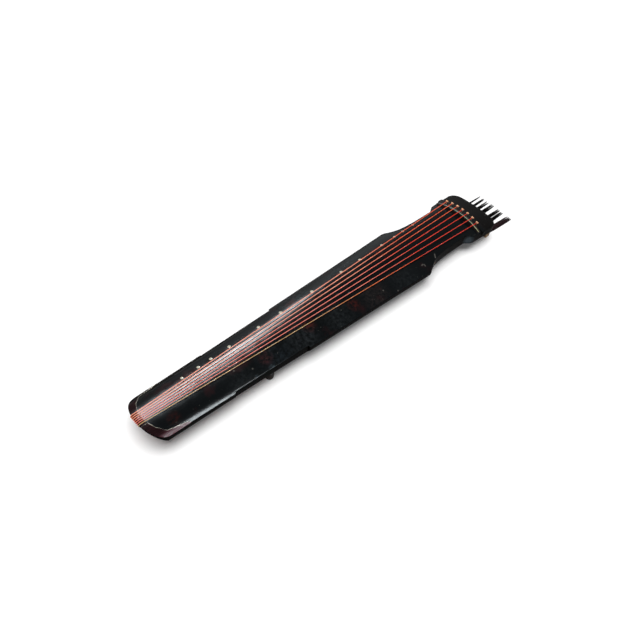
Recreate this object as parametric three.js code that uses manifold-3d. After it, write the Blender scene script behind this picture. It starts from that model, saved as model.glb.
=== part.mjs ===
import * as THREE from 'three';
import { mergeVertices } from 'three/addons/utils/BufferGeometryUtils.js';
import Module from 'manifold-3d';

const wasm = await Module();
wasm.setup();

// A seven-string zither lying on its two feet, in millimetres.
// Along is counted from the tail end towards the head, y is positive on the side away from the player,
// and height is counted from the upper edge of the rim.

// Length
const stringLength = 1120;
const tailBeyondNut = 3;
const headBeyondBridge = 93;
const nutAlong = tailBeyondNut;
const bridgeAlong = nutAlong + stringLength;
const bodyLength = bridgeAlong + headBeyondBridge;

// Plan, as half widths
const tailHalfWidth = 66.6;
const tailRoundLength = 50;
const tailRoundPower = 2.3;
const waistTailFromNut = 218;
const waistTailAlong = nutAlong + waistTailFromNut;
const waistTailHalfWidth = 71;
const waistTailInset = 3.7;
const waistHeadFromNut = 441;
const waistHeadAlong = nutAlong + waistHeadFromNut;
const waistHeadHalfWidth = 80.2;
const waistHeadInset = 5.6;
const shoulderFromBridge = 228.5;
const shoulderAlong = bridgeAlong - shoulderFromBridge;
const shoulderHalfWidth = 96.8;
const neckLength = 108.5;
const neckAlong = shoulderAlong + neckLength;
const neckHalfWidth = 68.8;
const neckFall = 3.6;
const neckStraightLength = 71;
const neckEndAlong = neckAlong + neckStraightLength;
const lobeLength = 30;
const lobeAlong = neckEndAlong + lobeLength;
const lobeHalfWidth = 84.3;
const headHalfWidth = 88;
const headFullHalfWidth = 98.6;
const headCornerLength = 32;
const headCornerWidth = 40;
const headCornerPower = 2.5;

// Cross section
const archRise = 22;
const tailArchPower = 3.4;
const archPower = 2.4;
const archFullFromBridge = 420;
const archFullAlong = bridgeAlong - archFullFromBridge;
const bridgeArchRise = 16.5;
const headEndArchRise = 9;
const headEndDrop = 3;
const rimDepth = 11;
const bottomBoardDepth = 11;
const bevelWidth = 16;
const footHeight = 35;
const baseHeight = -rimDepth - bottomBoardDepth;
const floorHeight = baseHeight - footHeight;

// Clearances
const gap = 0.3;
const overrunLength = 2;
const weldDistance = 0.0001;

// Hollow between the boards
const cavityTailAlong = 90;
const cavityNeckStep = 40.5;
const cavityNeckAlong = shoulderAlong + cavityNeckStep;
const cavityNeckLength = 105;
const cavityHeadAlong = cavityNeckAlong + cavityNeckLength;
const cavityWall = 20;
const cavityNeckHalfWidth = 50;
const cavityRoof = 13;
const cavitySideHeight = -4;
const cavityFlatShare = 0.6;

// Sound posts and sound holes
const heavenPostSetback = 19.5;
const heavenPostAlong = shoulderAlong - heavenPostSetback;
const heavenPostRadius = 11;
const earthPostSetback = 9;
const earthPostAlong = waistHeadAlong - earthPostSetback;
const earthPostSide = 20;
const poolFromShoulder = 184.5;
const poolAlong = shoulderAlong - poolFromShoulder;
const poolLength = 210;
const poolWidth = 28;
const pondFromNut = 212;
const pondAlong = nutAlong + pondFromNut;
const pondLength = 110;
const pondWidth = 26;
const holeCorner = 9;
const frameWall = 2.5;
const frameProud = 0.5;

// Strings, from the far one to the near one
const stringDiameters = [2.2, 2.1, 2.0, 1.9, 1.8, 1.7, 1.6];
const stringCount = stringDiameters.length;
const middleString = (stringCount - 1) / 2;
const bridgeSpacing = 19.84;
const nutSpacing = 5.12;
const stringsAside = 1.2;
const widestString = Math.max(...stringDiameters);

// Bridge with its pale saddle
const bridgeHalfLength = 83;
const saddleHalfLength = 82;
const saddleCrownHeight = 29.2;
const saddleEndHeight = 10.5;
const saddlePower = 2.2;
const saddleWidth = 2.8;
const saddleHeight = 1.6;
const bridgeTailFoot = 4.5;
const bridgeHeadFoot = 11;
const bridgeTailLip = 2.4;
const bridgeHeadLip = 8;
const bridgeFall = 1.2;

// Strip with the string holes
const stripGap = 1.5;
const stripWidth = 18.5;
const stripStart = bridgeAlong + bridgeHeadFoot + stripGap;
const stripEnd = stripStart + stripWidth;
const stripHalfLength = 89.5;
const stripBottomHeight = -7;
const stripProudHeight = 3.6;
const stripEndRound = 4;
const stringHoleSetback = 6.5;
const stringHoleAlong = stripStart + stringHoleSetback;
const stringHoleRadius = 1.8;
const loopRadius = 1.2;
const knotLength = 10.5;
const knotWidth = 9;
const knotHeight = 6;
const knotDrop = 0.5;

// Nuts and crown corners of the tail
const nutLength = 16;
const nutHalfWidth = 19;
const nutTopHeight = 24;
const nutRoundRadius = 3;
const nutCrestLength = 9;
const nutBackDrop = 1.2;
const undercutTopHeight = 20;
const undercutLength = 44;
const stringBendShare = 1.08;
const lowerNutLength = 58;
const lowerNutHalfWidth = 26;
const crownLength = 97;
const crownProud = 0.8;

// Feet, peg guards, pegs and tassels
const footSetback = 106.5;
const footAlong = waistHeadAlong - footSetback;
const footAcross = 52.5;
const footNeckRadius = 9;
const footNeckLength = 13;
const footRadius = 12;
const footToeRadius = 10.5;
const footToeLength = 7;
const footFlare = 4;
const windingStep = 2.6;
const guardSetback = 15;
const guardAlong = bodyLength - guardSetback;
const guardThickness = 18;
const guardInnerHalfWidth = 63.5;
const guardTopWidth = 17;
const guardTaper = 2;
const pegLength = 35;
const pegRadius = 7.2;
const pegCollar = 4;
const pegWaistRadius = 5.6;
const pegToeRadius = 6.4;
const pegToeLength = 4;
const pegBoreRadius = 1.7;
const pegBoreDepth = 4;
const pegPoolWidth = 20;
const pegPoolHalfLength = 73;
const pegDrop = 0.6;
const tasselCordRadius = 1.25;
const skirtLength = 120;
const skirtTipRadius = 5.2;
const skirtFlatShare = 0.5;

// Marker studs
const studTailOffset = 25.3;
const studBridgeOffset = 63.5;
const studMiddleDiameter = 11;
const studStep = 0.45;
const studThickness = 1.2;
const studSeat = 0.2;
const studShares = [
  1 / 8, 1 / 6, 1 / 5, 1 / 4, 1 / 3, 2 / 5, 1 / 2, 3 / 5, 2 / 3, 3 / 4, 4 / 5, 5 / 6, 7 / 8,
];
const middleStud = 6;

// Finish
const lacquer = { color: 0x14161a, roughness: 0.3, metalness: 0 };
const hardwood = { color: 0x2a1713, roughness: 0.4, metalness: 0 };
const crownWood = { color: 0x52292b, roughness: 0.35, metalness: 0 };
const bareWood = { color: 0xa98258, roughness: 0.8, metalness: 0 };
const paleStone = { color: 0xbfd0c0, roughness: 0.35, metalness: 0 };
const pearl = { color: 0xe9e2d0, roughness: 0.3, metalness: 0 };
const redSilk = { color: 0xd0452c, roughness: 0.5, metalness: 0 };
const goldSilk = { color: 0xc08a3c, roughness: 0.5, metalness: 0 };
const salmonSilk = { color: 0xe0a080, roughness: 0.7, metalness: 0 };
const blackSilk = { color: 0x0c0c0d, roughness: 0.8, metalness: 0 };

const instrument = new THREE.Group();

function mix(from, to, share) {
  return from + (to - from) * share;
}

// Value at a place along a chain of [along, value] pairs, straight between them
function along(chain, place) {
  const next = chain.findIndex(([at]) => at >= place);
  if (next < 0) {
    return chain[chain.length - 1][1];
  }
  if (next === 0) {
    return chain[0][1];
  }
  const [start, low] = chain[next - 1];
  const [end, high] = chain[next];
  return mix(low, high, (place - start) / (end - start));
}

const fullWidthChain = [
  [tailRoundLength, tailHalfWidth],
  [waistTailAlong, waistTailHalfWidth],
  [waistHeadAlong, waistHeadHalfWidth],
  [shoulderAlong, shoulderHalfWidth],
  [bodyLength, headFullHalfWidth],
];
const riseChain = [
  [archFullAlong, archRise],
  [bridgeAlong, bridgeArchRise],
  [bodyLength, headEndArchRise],
];
const powerChain = [
  [crownLength, tailArchPower],
  [waistHeadAlong, archPower],
];
const edgeChain = [
  [bridgeAlong, 0],
  [bodyLength, -headEndDrop],
];

function fullHalfWidth(place) {
  return along(fullWidthChain, place);
}

// Height of the arched top surface
function archHeight(place, y) {
  const share = Math.min(Math.abs(y) / fullHalfWidth(place), 1);
  return along(edgeChain, place) + along(riseChain, place) * (1 - share ** along(powerChain, place));
}

// Height of the saddle's upper edge, where the strings bear
function saddleTop(y) {
  return mix(saddleCrownHeight, saddleEndHeight, (Math.abs(y) / saddleHalfLength) ** saddlePower);
}

// Closed body through rings of equally many points, with flat end caps
function loft(rings, flatten) {
  const size = rings[0].length;
  const positions = rings.flat().flatMap((point) => [point.x, point.y, point.z]);
  const index = [];
  for (let ring = 0; ring < rings.length - 1; ring += 1) {
    for (let i = 0; i < size; i += 1) {
      const a = ring * size + i;
      const b = ring * size + ((i + 1) % size);
      index.push(a, b, a + size, b, b + size, a + size);
    }
  }
  const last = (rings.length - 1) * size;
  for (const [ring, start, flip] of [[rings[0], 0, true], [rings[rings.length - 1], last, false]]) {
    const contour = ring.map(flatten);
    const forwards = THREE.ShapeUtils.area(contour) > 0;
    const order = forwards ? contour : contour.slice().reverse();
    for (const face of THREE.ShapeUtils.triangulateShape(order, [])) {
      const corners = face.map((i) => start + (forwards ? i : size - 1 - i));
      const turned = forwards === flip ? corners.reverse() : corners;
      index.push(...turned);
    }
  }
  const geometry = new THREE.BufferGeometry();
  geometry.setAttribute('position', new THREE.Float32BufferAttribute(positions, 3));
  geometry.setIndex(index);
  return outward(geometry);
}

function signedVolume(geometry) {
  const position = geometry.getAttribute('position');
  const index = geometry.getIndex();
  const corner = [new THREE.Vector3(), new THREE.Vector3(), new THREE.Vector3()];
  let volume = 0;
  for (let i = 0; i < index.count; i += 3) {
    corner.forEach((point, k) => point.fromBufferAttribute(position, index.getX(i + k)));
    volume += corner[0].dot(corner[1].clone().cross(corner[2]));
  }
  return volume;
}

// The same geometry with its faces pointing out
function outward(geometry) {
  if (signedVolume(geometry) < 0) {
    geometry.setIndex(Array.from(geometry.getIndex().array).reverse());
  }
  return geometry;
}

function bare(geometry) {
  const plain = geometry.clone();
  plain.deleteAttribute('normal');
  plain.deleteAttribute('uv');
  return mergeVertices(plain, weldDistance);
}

function solid(geometry) {
  const plain = outward(bare(geometry));
  const vertProperties = Float32Array.from(plain.getAttribute('position').array);
  const triVerts = Uint32Array.from(plain.getIndex().array);
  return new wasm.Manifold(new wasm.Mesh({ numProp: 3, vertProperties, triVerts }));
}

function geometryOf(manifold) {
  const mesh = manifold.getMesh();
  const geometry = new THREE.BufferGeometry();
  geometry.setAttribute('position', new THREE.Float32BufferAttribute(mesh.vertProperties, 3));
  geometry.setIndex(Array.from(mesh.triVerts));
  return geometry;
}

function add(name, geometry, finish) {
  const facets = outward(bare(geometry)).toNonIndexed();
  facets.computeVertexNormals();
  const mesh = new THREE.Mesh(facets, new THREE.MeshStandardMaterial(finish));
  mesh.name = name;
  instrument.add(mesh);
  return mesh;
}

// Upright block over a plan outline
function upright(outline, low, high) {
  const options = { depth: high - low, bevelEnabled: false };
  return new THREE.ExtrudeGeometry(new THREE.Shape(outline), options).translate(0, 0, low);
}

// Block with an outline seen from the near side, as [along, height], that runs across the body
function crosswise(outline, halfWidth) {
  const shape = new THREE.Shape(outline.map(([x, z]) => new THREE.Vector2(x, z)));
  const geometry = new THREE.ExtrudeGeometry(shape, { depth: 2 * halfWidth, bevelEnabled: false });
  return geometry.rotateX(Math.PI / 2).translate(0, halfWidth, 0);
}

function box(low, high) {
  const size = high.map((value, i) => value - low[i]);
  const centre = high.map((value, i) => (value + low[i]) / 2);
  return new THREE.BoxGeometry(...size).translate(...centre);
}

function rod(radius, low, high, x, y, sides) {
  const geometry = new THREE.CylinderGeometry(radius, radius, high - low, sides);
  return geometry.rotateX(Math.PI / 2).translate(x, y, (low + high) / 2);
}

function mirrored(farSide) {
  const nearSide = farSide.filter((point) => point.y > 0).reverse();
  return farSide.concat(nearSide.map((point) => new THREE.Vector2(point.x, -point.y)));
}

// Quarter of a rounded corner, from its end to its side
function roundedQuarter(length, width, power, steps) {
  const points = [];
  for (let i = 0; i <= steps; i += 1) {
    const angle = (i / steps) * (Math.PI / 2);
    const back = Math.cos(angle) ** (2 / power);
    const out = Math.sin(angle) ** (2 / power);
    points.push(new THREE.Vector2(length * back, width * out));
  }
  return points;
}

function tailEnd(inset, widen) {
  const width = tailHalfWidth + widen - inset;
  const quarter = roundedQuarter(tailRoundLength - inset, width, tailRoundPower, 11);
  return quarter.map((point) => new THREE.Vector2(tailRoundLength - point.x, point.y));
}

// Plan of the cut body: waist notches, neck, head. The straight sides stand clear of the full width.
function planOutline(start) {
  const side = start.slice();
  side.push(new THREE.Vector2(waistTailAlong, waistTailHalfWidth + overrunLength));
  side.push(new THREE.Vector2(waistTailAlong, waistTailHalfWidth - waistTailInset));
  side.push(new THREE.Vector2(waistHeadAlong, waistHeadHalfWidth - waistHeadInset));
  side.push(new THREE.Vector2(waistHeadAlong, waistHeadHalfWidth + overrunLength));
  side.push(new THREE.Vector2(shoulderAlong, shoulderHalfWidth + overrunLength));
  const neckSteps = 9;
  const rest = Math.exp(-neckFall);
  for (let i = 0; i <= neckSteps; i += 1) {
    const share = i / neckSteps;
    const width = (Math.exp(-neckFall * share) - rest) / (1 - rest);
    const x = mix(shoulderAlong, neckAlong, share);
    side.push(new THREE.Vector2(x, mix(neckHalfWidth, shoulderHalfWidth, width)));
  }
  const lobeSteps = 6;
  for (let i = 0; i <= lobeSteps; i += 1) {
    const share = i / lobeSteps;
    const width = (1 - Math.cos(Math.PI * share)) / 2;
    const x = mix(neckEndAlong, lobeAlong, share);
    side.push(new THREE.Vector2(x, mix(neckHalfWidth, lobeHalfWidth, width)));
  }
  const corner = roundedQuarter(headCornerLength, headCornerWidth, headCornerPower, 7).reverse();
  for (const point of corner) {
    const x = bodyLength - headCornerLength + point.x;
    side.push(new THREE.Vector2(x, headHalfWidth - headCornerWidth + point.y));
  }
  return mirrored(side);
}

const squareTail = [new THREE.Vector2(-overrunLength, tailHalfWidth + overrunLength)];
const planHigh = archRise + 2 * overrunLength;
const planLow = baseHeight - overrunLength;
const undercut = solid(crosswise([
  [-overrunLength, planLow],
  [mix(0, undercutLength, (undercutTopHeight - planLow) / (undercutTopHeight - baseHeight)), planLow],
  [0, undercutTopHeight],
  [-overrunLength, undercutTopHeight],
], Math.max(tailHalfWidth, waistTailHalfWidth) + overrunLength));

function planBlock(start) {
  return solid(upright(planOutline(start), planLow, planHigh)).subtract(undercut);
}

const roundPlan = planBlock(tailEnd(0, overrunLength / 4));
const squarePlan = planBlock(squareTail);

// Arched upper half of the body at its full width
function archedBlock(raise) {
  const steps = 16;
  const stations = [
    -overrunLength, tailRoundLength, waistTailAlong, waistHeadAlong, archFullAlong, shoulderAlong,
    neckAlong, bridgeAlong, bodyLength + overrunLength,
  ];
  const rings = stations.map((x) => {
    const half = fullHalfWidth(x);
    const under = -rimDepth + gap / 2;
    const ring = [new THREE.Vector3(x, half, under), new THREE.Vector3(x, -half, under)];
    for (let i = 0; i <= steps; i += 1) {
      const y = half * Math.sin(mix(-Math.PI / 2, Math.PI / 2, i / steps));
      ring.push(new THREE.Vector3(x, y, archHeight(x, y) + raise));
    }
    return ring;
  });
  return solid(loft(rings, (point) => new THREE.Vector2(point.y, point.z)));
}

// Lower half of the body at its full width, its underside rounded in towards the base
function bevelledBlock() {
  const steps = 3;
  const rings = [];
  for (let i = 0; i <= steps; i += 1) {
    const angle = (i / steps) * (Math.PI / 2);
    const inset = bevelWidth * (1 - Math.cos(angle));
    const top = -rimDepth - gap / 2;
    const z = mix(top, baseHeight, Math.sin(angle));
    const side = tailEnd(inset, 0);
    for (const [x, half] of fullWidthChain.slice(1)) {
      const end = x === bodyLength ? bodyLength + overrunLength / 2 - inset : x;
      side.push(new THREE.Vector2(end, half - inset));
    }
    rings.push(mirrored(side).map((point) => new THREE.Vector3(point.x, point.y, z)));
  }
  return solid(loft(rings, (point) => new THREE.Vector2(point.x, point.y)));
}

function cavity() {
  const places = [
    [cavityTailAlong, tailHalfWidth - cavityWall],
    [waistTailAlong, waistTailHalfWidth - cavityWall],
    [waistHeadAlong, waistHeadHalfWidth - cavityWall],
    [shoulderAlong - cavityWall, shoulderHalfWidth - cavityWall],
    [cavityNeckAlong, cavityNeckHalfWidth],
    [cavityHeadAlong, cavityNeckHalfWidth],
  ];
  const rings = places.map(([x, half]) => {
    const roof = archHeight(x, 0) - cavityRoof;
    const flat = half * cavityFlatShare;
    const under = -rimDepth - overrunLength;
    const ring = [[half, under], [half, cavitySideHeight], [flat, roof]];
    ring.push([-flat, roof], [-half, cavitySideHeight], [-half, under]);
    return ring.map(([y, z]) => new THREE.Vector3(x, y, z));
  });
  return solid(loft(rings, (point) => new THREE.Vector2(point.y, point.z)));
}

// Where each string crosses the bridge and the tail nut
function stringAtBridge(number) {
  return stringsAside + (middleString - number) * bridgeSpacing;
}

function stringAtNut(number) {
  return stringsAside + (middleString - number) * nutSpacing;
}

const stringNumbers = stringDiameters.map((diameter, number) => number);

// Inner edge of a crown corner, as shares of its length and of the tail's half width
const crownEdgeShares = [
  [0.19, 0.29], [0.216, 0.41], [0.258, 0.56], [0.32, 0.655], [0.381, 0.75], [0.443, 0.832], [0.567, 0.865],
  [0.711, 0.895], [0.938, 0.947], [1, 0.98],
];

function crownOutline(side, grow) {
  const inner = crownEdgeShares.map(([x, y]) => [crownLength * x + grow, tailHalfWidth * y - grow]);
  const start = nutHalfWidth + gap;
  inner[0][1] = start;
  const outer = Math.max(tailHalfWidth, waistTailHalfWidth) + overrunLength;
  const ring = [[-overrunLength, start], ...inner, [crownLength + grow, outer], [-overrunLength, outer]];
  return ring.map(([x, y]) => new THREE.Vector2(x, side * y));
}

function crownBlock(side, grow) {
  return solid(upright(crownOutline(side, grow), planLow, planHigh));
}

function studPlace(number) {
  const x = bridgeAlong - stringLength * studShares[number];
  const y = stringsAside + mix(studTailOffset, studBridgeOffset, (x - nutAlong) / stringLength);
  const step = studThickness;
  const slope = (archHeight(x, y + step) - archHeight(x, y - step)) / (2 * step);
  const diameter = studMiddleDiameter - studStep * Math.abs(number - middleStud);
  return { x, y, z: archHeight(x, y), tilt: Math.atan(slope), radius: diameter / 2 };
}

// Round plug square to the arched surface, from so far above it to so far below it
function plug(place, radius, above, below) {
  const geometry = new THREE.CylinderGeometry(radius, radius, above + below, 14);
  geometry.rotateX(Math.PI / 2).translate(0, 0, (above - below) / 2);
  return geometry.rotateX(place.tilt).translate(place.x, place.y, place.z);
}

// Top board: arched, hollowed from below, with seats for everything let into it
function topBoard() {
  let board = archedBlock(0).intersect(roundPlan);
  board = board.subtract(cavity());
  board = board.subtract(crownBlock(1, gap)).subtract(crownBlock(-1, gap));
  const nutSeat = box(
    [-overrunLength, -nutHalfWidth - gap - gap, planLow],
    [nutLength + gap, nutHalfWidth + gap + gap, planHigh],
  );
  board = board.subtract(solid(nutSeat));
  const stripSeat = box(
    [stripStart - gap, -stripHalfLength - overrunLength, stripBottomHeight - gap],
    [stripEnd + gap, stripHalfLength + overrunLength, planHigh],
  );
  board = board.subtract(solid(stripSeat));
  for (const number of stringNumbers) {
    const y = stringAtBridge(number);
    const hole = rod(stringHoleRadius, planLow, stripBottomHeight + overrunLength, stringHoleAlong, y, 8);
    board = board.subtract(solid(hole));
  }
  studShares.forEach((share, number) => {
    const place = studPlace(number);
    const seat = plug(place, place.radius + studSeat, overrunLength, studThickness + gap);
    board = board.subtract(solid(seat));
  });
  return board;
}

function roundedRectangle(length, width, corner) {
  const x = length / 2;
  const y = width / 2;
  const points = [];
  const steps = 4;
  for (const [turn, alongSign, acrossSign] of [[0, 1, 1], [1, -1, 1], [2, -1, -1], [3, 1, -1]]) {
    const centreX = alongSign * (x - corner);
    const centreY = acrossSign * (y - corner);
    for (let i = 0; i <= steps; i += 1) {
      const angle = (turn + i / steps) * (Math.PI / 2);
      const out = corner * Math.cos(angle);
      const over = corner * Math.sin(angle);
      points.push(new THREE.Vector2(centreX + out, centreY + over));
    }
  }
  return points;
}

function soundHole(length, width, corner, place, low, high) {
  return upright(roundedRectangle(length, width, corner), low, high).translate(place, 0, 0);
}

const pegPoolStart = stringHoleAlong - pegPoolWidth / 2;
const pegPoolEnd = stringHoleAlong + pegPoolWidth / 2;

function lowerNutBlock(grow) {
  const half = lowerNutHalfWidth + grow;
  const block = box([-overrunLength, -half, planLow], [lowerNutLength + grow, half, 0]);
  return solid(block).intersect(squarePlan);
}

function bottomBoard() {
  let board = bevelledBlock().intersect(squarePlan);
  board = board.subtract(lowerNutBlock(gap));
  board = board.subtract(solid(soundHole(poolLength, poolWidth, holeCorner, poolAlong, planLow, 0)));
  board = board.subtract(solid(soundHole(pondLength, pondWidth, holeCorner, pondAlong, planLow, 0)));
  const pegPool = box([pegPoolStart, -pegPoolHalfLength, planLow], [pegPoolEnd, pegPoolHalfLength, 0]);
  return board.subtract(solid(pegPool));
}

function holeFrame(length, width, place) {
  const low = baseHeight - frameProud;
  const high = -rimDepth - gap;
  const ring = (inset, past) => {
    const corner = holeCorner - inset;
    return solid(soundHole(length - 2 * inset, width - 2 * inset, corner, place, low - past, high + past));
  };
  return geometryOf(ring(gap, 0).subtract(ring(gap + frameWall, overrunLength)));
}

// Body laid across the instrument, from a section for each place across
function crossLoft(places, section) {
  const rings = places.map((y) => section(y).map(([x, z]) => new THREE.Vector3(x, y, z)));
  return loft(rings, (point) => new THREE.Vector2(point.x, point.z));
}

function evenly(half, steps) {
  return Array.from({ length: steps + 1 }, (unused, i) => mix(-half, half, i / steps));
}

function bridge() {
  return crossLoft(evenly(bridgeHalfLength, 12), (y) => {
    const tailFoot = bridgeAlong - bridgeTailFoot;
    const headFoot = bridgeAlong + bridgeHeadFoot;
    const top = saddleTop(y) - saddleHeight - gap;
    return [
      [tailFoot, archHeight(tailFoot, y) + gap],
      [bridgeAlong, archHeight(bridgeAlong, y) + gap],
      [headFoot, archHeight(headFoot, y) + gap],
      [bridgeAlong + bridgeHeadLip, top - bridgeFall],
      [bridgeAlong + bridgeTailLip, top],
      [bridgeAlong - bridgeTailLip, top],
    ];
  });
}

function saddle() {
  return crossLoft(evenly(saddleHalfLength, 12), (y) => {
    const top = saddleTop(y);
    const start = bridgeAlong - saddleWidth / 2;
    const end = bridgeAlong + saddleWidth / 2;
    return [[start, top - saddleHeight], [end, top - saddleHeight], [end, top], [start, top]];
  });
}

function holeStrip() {
  const body = stripHalfLength - stripEndRound;
  const tips = [stripHalfLength, stripHalfLength - stripEndRound / 4, body];
  const places = [...tips.map((y) => -y), ...evenly(body, 10).slice(1, -1), ...tips.slice().reverse()];
  let strip = solid(crossLoft(places, (y) => {
    const past = Math.max(Math.abs(y) - body, 0) / stripEndRound;
    const trim = ((stripEnd - stripStart) / 4) * past ** 2;
    const start = stripStart + trim;
    const end = stripEnd - trim;
    return [
      [start, stripBottomHeight],
      [end, stripBottomHeight],
      [end, archHeight(end, y) + stripProudHeight],
      [start, archHeight(start, y) + stripProudHeight],
    ];
  }));
  for (const number of stringNumbers) {
    const hole = rod(stringHoleRadius, planLow, planHigh, stringHoleAlong, stringAtBridge(number), 8);
    strip = strip.subtract(solid(hole));
  }
  return geometryOf(strip);
}

// Rounded upper edge of the tail nut, as shares of its rounding, with the way out to a string's middle
const nutEdgeShares = [[1 / 2, 1 / 3, 0.7, 0.75], [1 / 5, 0.85, 1, 0.3]];

function tailNut() {
  return crosswise([
    [nutLength, mix(undercutTopHeight, baseHeight, nutLength / undercutLength)],
    [nutLength, nutTopHeight - nutBackDrop],
    [nutCrestLength, nutTopHeight],
    [nutRoundRadius, nutTopHeight],
    ...nutEdgeShares.map(([x, z]) => [nutRoundRadius * x, nutTopHeight - nutRoundRadius * z]),
    [0, undercutTopHeight],
  ], nutHalfWidth);
}

// Path with a ring at each of its points
class Route extends THREE.Curve {
  constructor(points) {
    super();
    this.points = points;
  }

  getPoint(share, target = new THREE.Vector3()) {
    const place = share * (this.points.length - 1);
    const index = Math.min(Math.floor(place), this.points.length - 2);
    return target.lerpVectors(this.points[index], this.points[index + 1], place - index);
  }

  getPointAt(share, target) {
    return this.getPoint(share, target);
  }

  getTangent(share, target = new THREE.Vector3()) {
    const index = Math.round(share * (this.points.length - 1));
    const before = this.points[Math.max(index - 1, 0)];
    const here = this.points[index];
    const after = this.points[Math.min(index + 1, this.points.length - 1)];
    const arriving = here.clone().sub(before).normalize();
    const leaving = after.clone().sub(here).normalize();
    return target.copy(arriving.add(leaving)).normalize();
  }

  getTangentAt(share, target) {
    return this.getTangent(share, target);
  }
}

function tube(points, radius, sides) {
  const circle = [];
  for (let i = 0; i < sides; i += 1) {
    const angle = (i / sides) * 2 * Math.PI;
    circle.push(new THREE.Vector2(radius * Math.cos(angle), radius * Math.sin(angle)));
  }
  const options = { steps: points.length - 1, extrudePath: new Route(points), bevelEnabled: false };
  return new THREE.ExtrudeGeometry(new THREE.Shape(circle), options);
}

// Part of half a turn at which a string meets its foot, and at which it ends
const windingShares = [-0.47, 1.1];

// A string's route: knot, bridge, tail nut, down the undercut, along the base, round a foot
function stringRoute(number) {
  const radius = stringDiameters[number] / 2;
  const off = gap + radius;
  const atBridge = stringAtBridge(number);
  const atNut = stringAtNut(number);
  const knotFront = stringHoleAlong - knotLength / 2 - gap;
  const crest = saddleTop(atBridge) + off;
  const points = [
    new THREE.Vector3(knotFront, atBridge, saddleTop(atBridge) - knotDrop),
    new THREE.Vector3(bridgeAlong + saddleWidth / 2, atBridge, crest),
    new THREE.Vector3(bridgeAlong - saddleWidth / 2, atBridge, crest),
    new THREE.Vector3(nutCrestLength, atNut, nutTopHeight + off),
    new THREE.Vector3(nutRoundRadius - radius, atNut, nutTopHeight + off),
  ];
  for (const [x, z, out, up] of nutEdgeShares) {
    const height = nutTopHeight - nutRoundRadius * z + off * up;
    points.push(new THREE.Vector3(nutRoundRadius * x - off * out, atNut, height));
  }
  const bend = off * stringBendShare;
  const slopeDepth = undercutTopHeight - baseHeight;
  const slope = Math.hypot(undercutLength, slopeDepth);
  const back = (bend * slopeDepth) / slope;
  const down = (bend * undercutLength) / slope;
  points.push(new THREE.Vector3(-bend, atNut, undercutTopHeight));
  points.push(new THREE.Vector3(-back, atNut, undercutTopHeight - down));
  points.push(new THREE.Vector3(undercutLength - back, atNut, baseHeight - down));
  points.push(new THREE.Vector3(undercutLength, atNut, baseHeight - bend));
  const far = number <= middleString;
  const side = far ? 1 : -1;
  const order = far ? number : stringCount - 1 - number;
  const level = baseHeight - gap - widestString - order * windingStep;
  const round = footNeckRadius + off;
  const turns = 9;
  for (let i = 0; i <= turns; i += 1) {
    const angle = mix(...windingShares, i / turns) * Math.PI;
    const x = footAlong + round * Math.cos(angle);
    points.push(new THREE.Vector3(x, side * (footAcross + round * Math.sin(angle)), level));
  }
  return points;
}

// A turned piece with its axis upright, its profile given as [radius, height]
function turned(profile, sides) {
  const points = profile.map(([radius, height]) => new THREE.Vector2(radius, height));
  return new THREE.LatheGeometry(points, sides).rotateX(Math.PI / 2);
}

function foot(side) {
  const top = baseHeight - gap;
  const flare = baseHeight - footNeckLength;
  const profile = [
    [0, top],
    [footNeckRadius, top],
    [footNeckRadius, flare],
    [footRadius, flare - footFlare],
    [footRadius, floorHeight + footToeLength],
    [footToeRadius, floorHeight],
    [0, floorHeight],
  ];
  return turned(profile, 16).translate(footAlong, side * footAcross, 0);
}

// Guard beside the pegs, tapering towards the floor
function pegGuard(side) {
  const top = baseHeight - gap;
  const outer = guardInnerHalfWidth + guardTopWidth;
  const outline = [
    [guardInnerHalfWidth, top],
    [outer, top],
    [outer - guardTaper, floorHeight],
    [guardInnerHalfWidth + guardTaper, floorHeight],
  ];
  const shape = new THREE.Shape(outline.map(([y, z]) => new THREE.Vector2(side * y, z)));
  const geometry = new THREE.ExtrudeGeometry(shape, { depth: guardThickness, bevelEnabled: false });
  geometry.rotateX(Math.PI / 2).rotateZ(Math.PI / 2);
  return geometry.translate(guardAlong - guardThickness / 2, 0, 0);
}

const pegTop = -rimDepth - gap / 2 - pegDrop;
const pegBottom = pegTop - pegLength;

// Eight-sided peg with a round bore in its lower end for the tassel's cord
function peg() {
  const profile = [
    [0, pegTop],
    [pegRadius, pegTop],
    [pegRadius, pegTop - pegCollar],
    [pegWaistRadius, (pegTop + pegBottom) / 2],
    [pegToeRadius, pegBottom + pegToeLength],
    [pegToeRadius - gap, pegBottom],
    [pegBoreRadius, pegBottom],
    [pegBoreRadius, pegBottom + pegBoreDepth],
    [0, pegBottom + pegBoreDepth],
  ];
  return turned(profile, 8);
}

// Silk loop up through the string hole, with the knot that holds the string behind the bridge
function silkLoop(number) {
  const y = stringAtBridge(number);
  const centre = saddleTop(y) - knotDrop;
  const knot = new THREE.SphereGeometry(knotLength / 2, 10, 6);
  knot.scale(1, knotWidth / knotLength, knotHeight / knotLength).translate(stringHoleAlong, y, centre);
  const low = -rimDepth - gap / 2;
  const cord = rod(loopRadius, low, centre, stringHoleAlong, y, 8);
  return geometryOf(solid(knot).add(solid(cord)));
}

// Tassel cord, as steps forward from the peg and heights over the floor
const tasselRoute = [
  [0, 13.4], [0, 10.4], [0, 7.6], [0.5, 5.2], [2, 3.3], [4.6, 2.1], [8, 1.7], [13, 1.6],
  [19, 1.6], [26, 1.6], [33, 1.6], [40, 1.6], [47, 1.6], [54, 1.6], [62, 1.6], [70, 1.6],
];
const tasselSwings = [-6, -2, 0.5, 0, -8, -2, -13];

// Skirt outline, as shares of its tip radius and of its length
const skirtShares = [[0.46, 0.04], [0.46, 0.08], [0.86, 0.5], [1, 0.8], [0.5, 1], [0, 1]];

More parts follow.
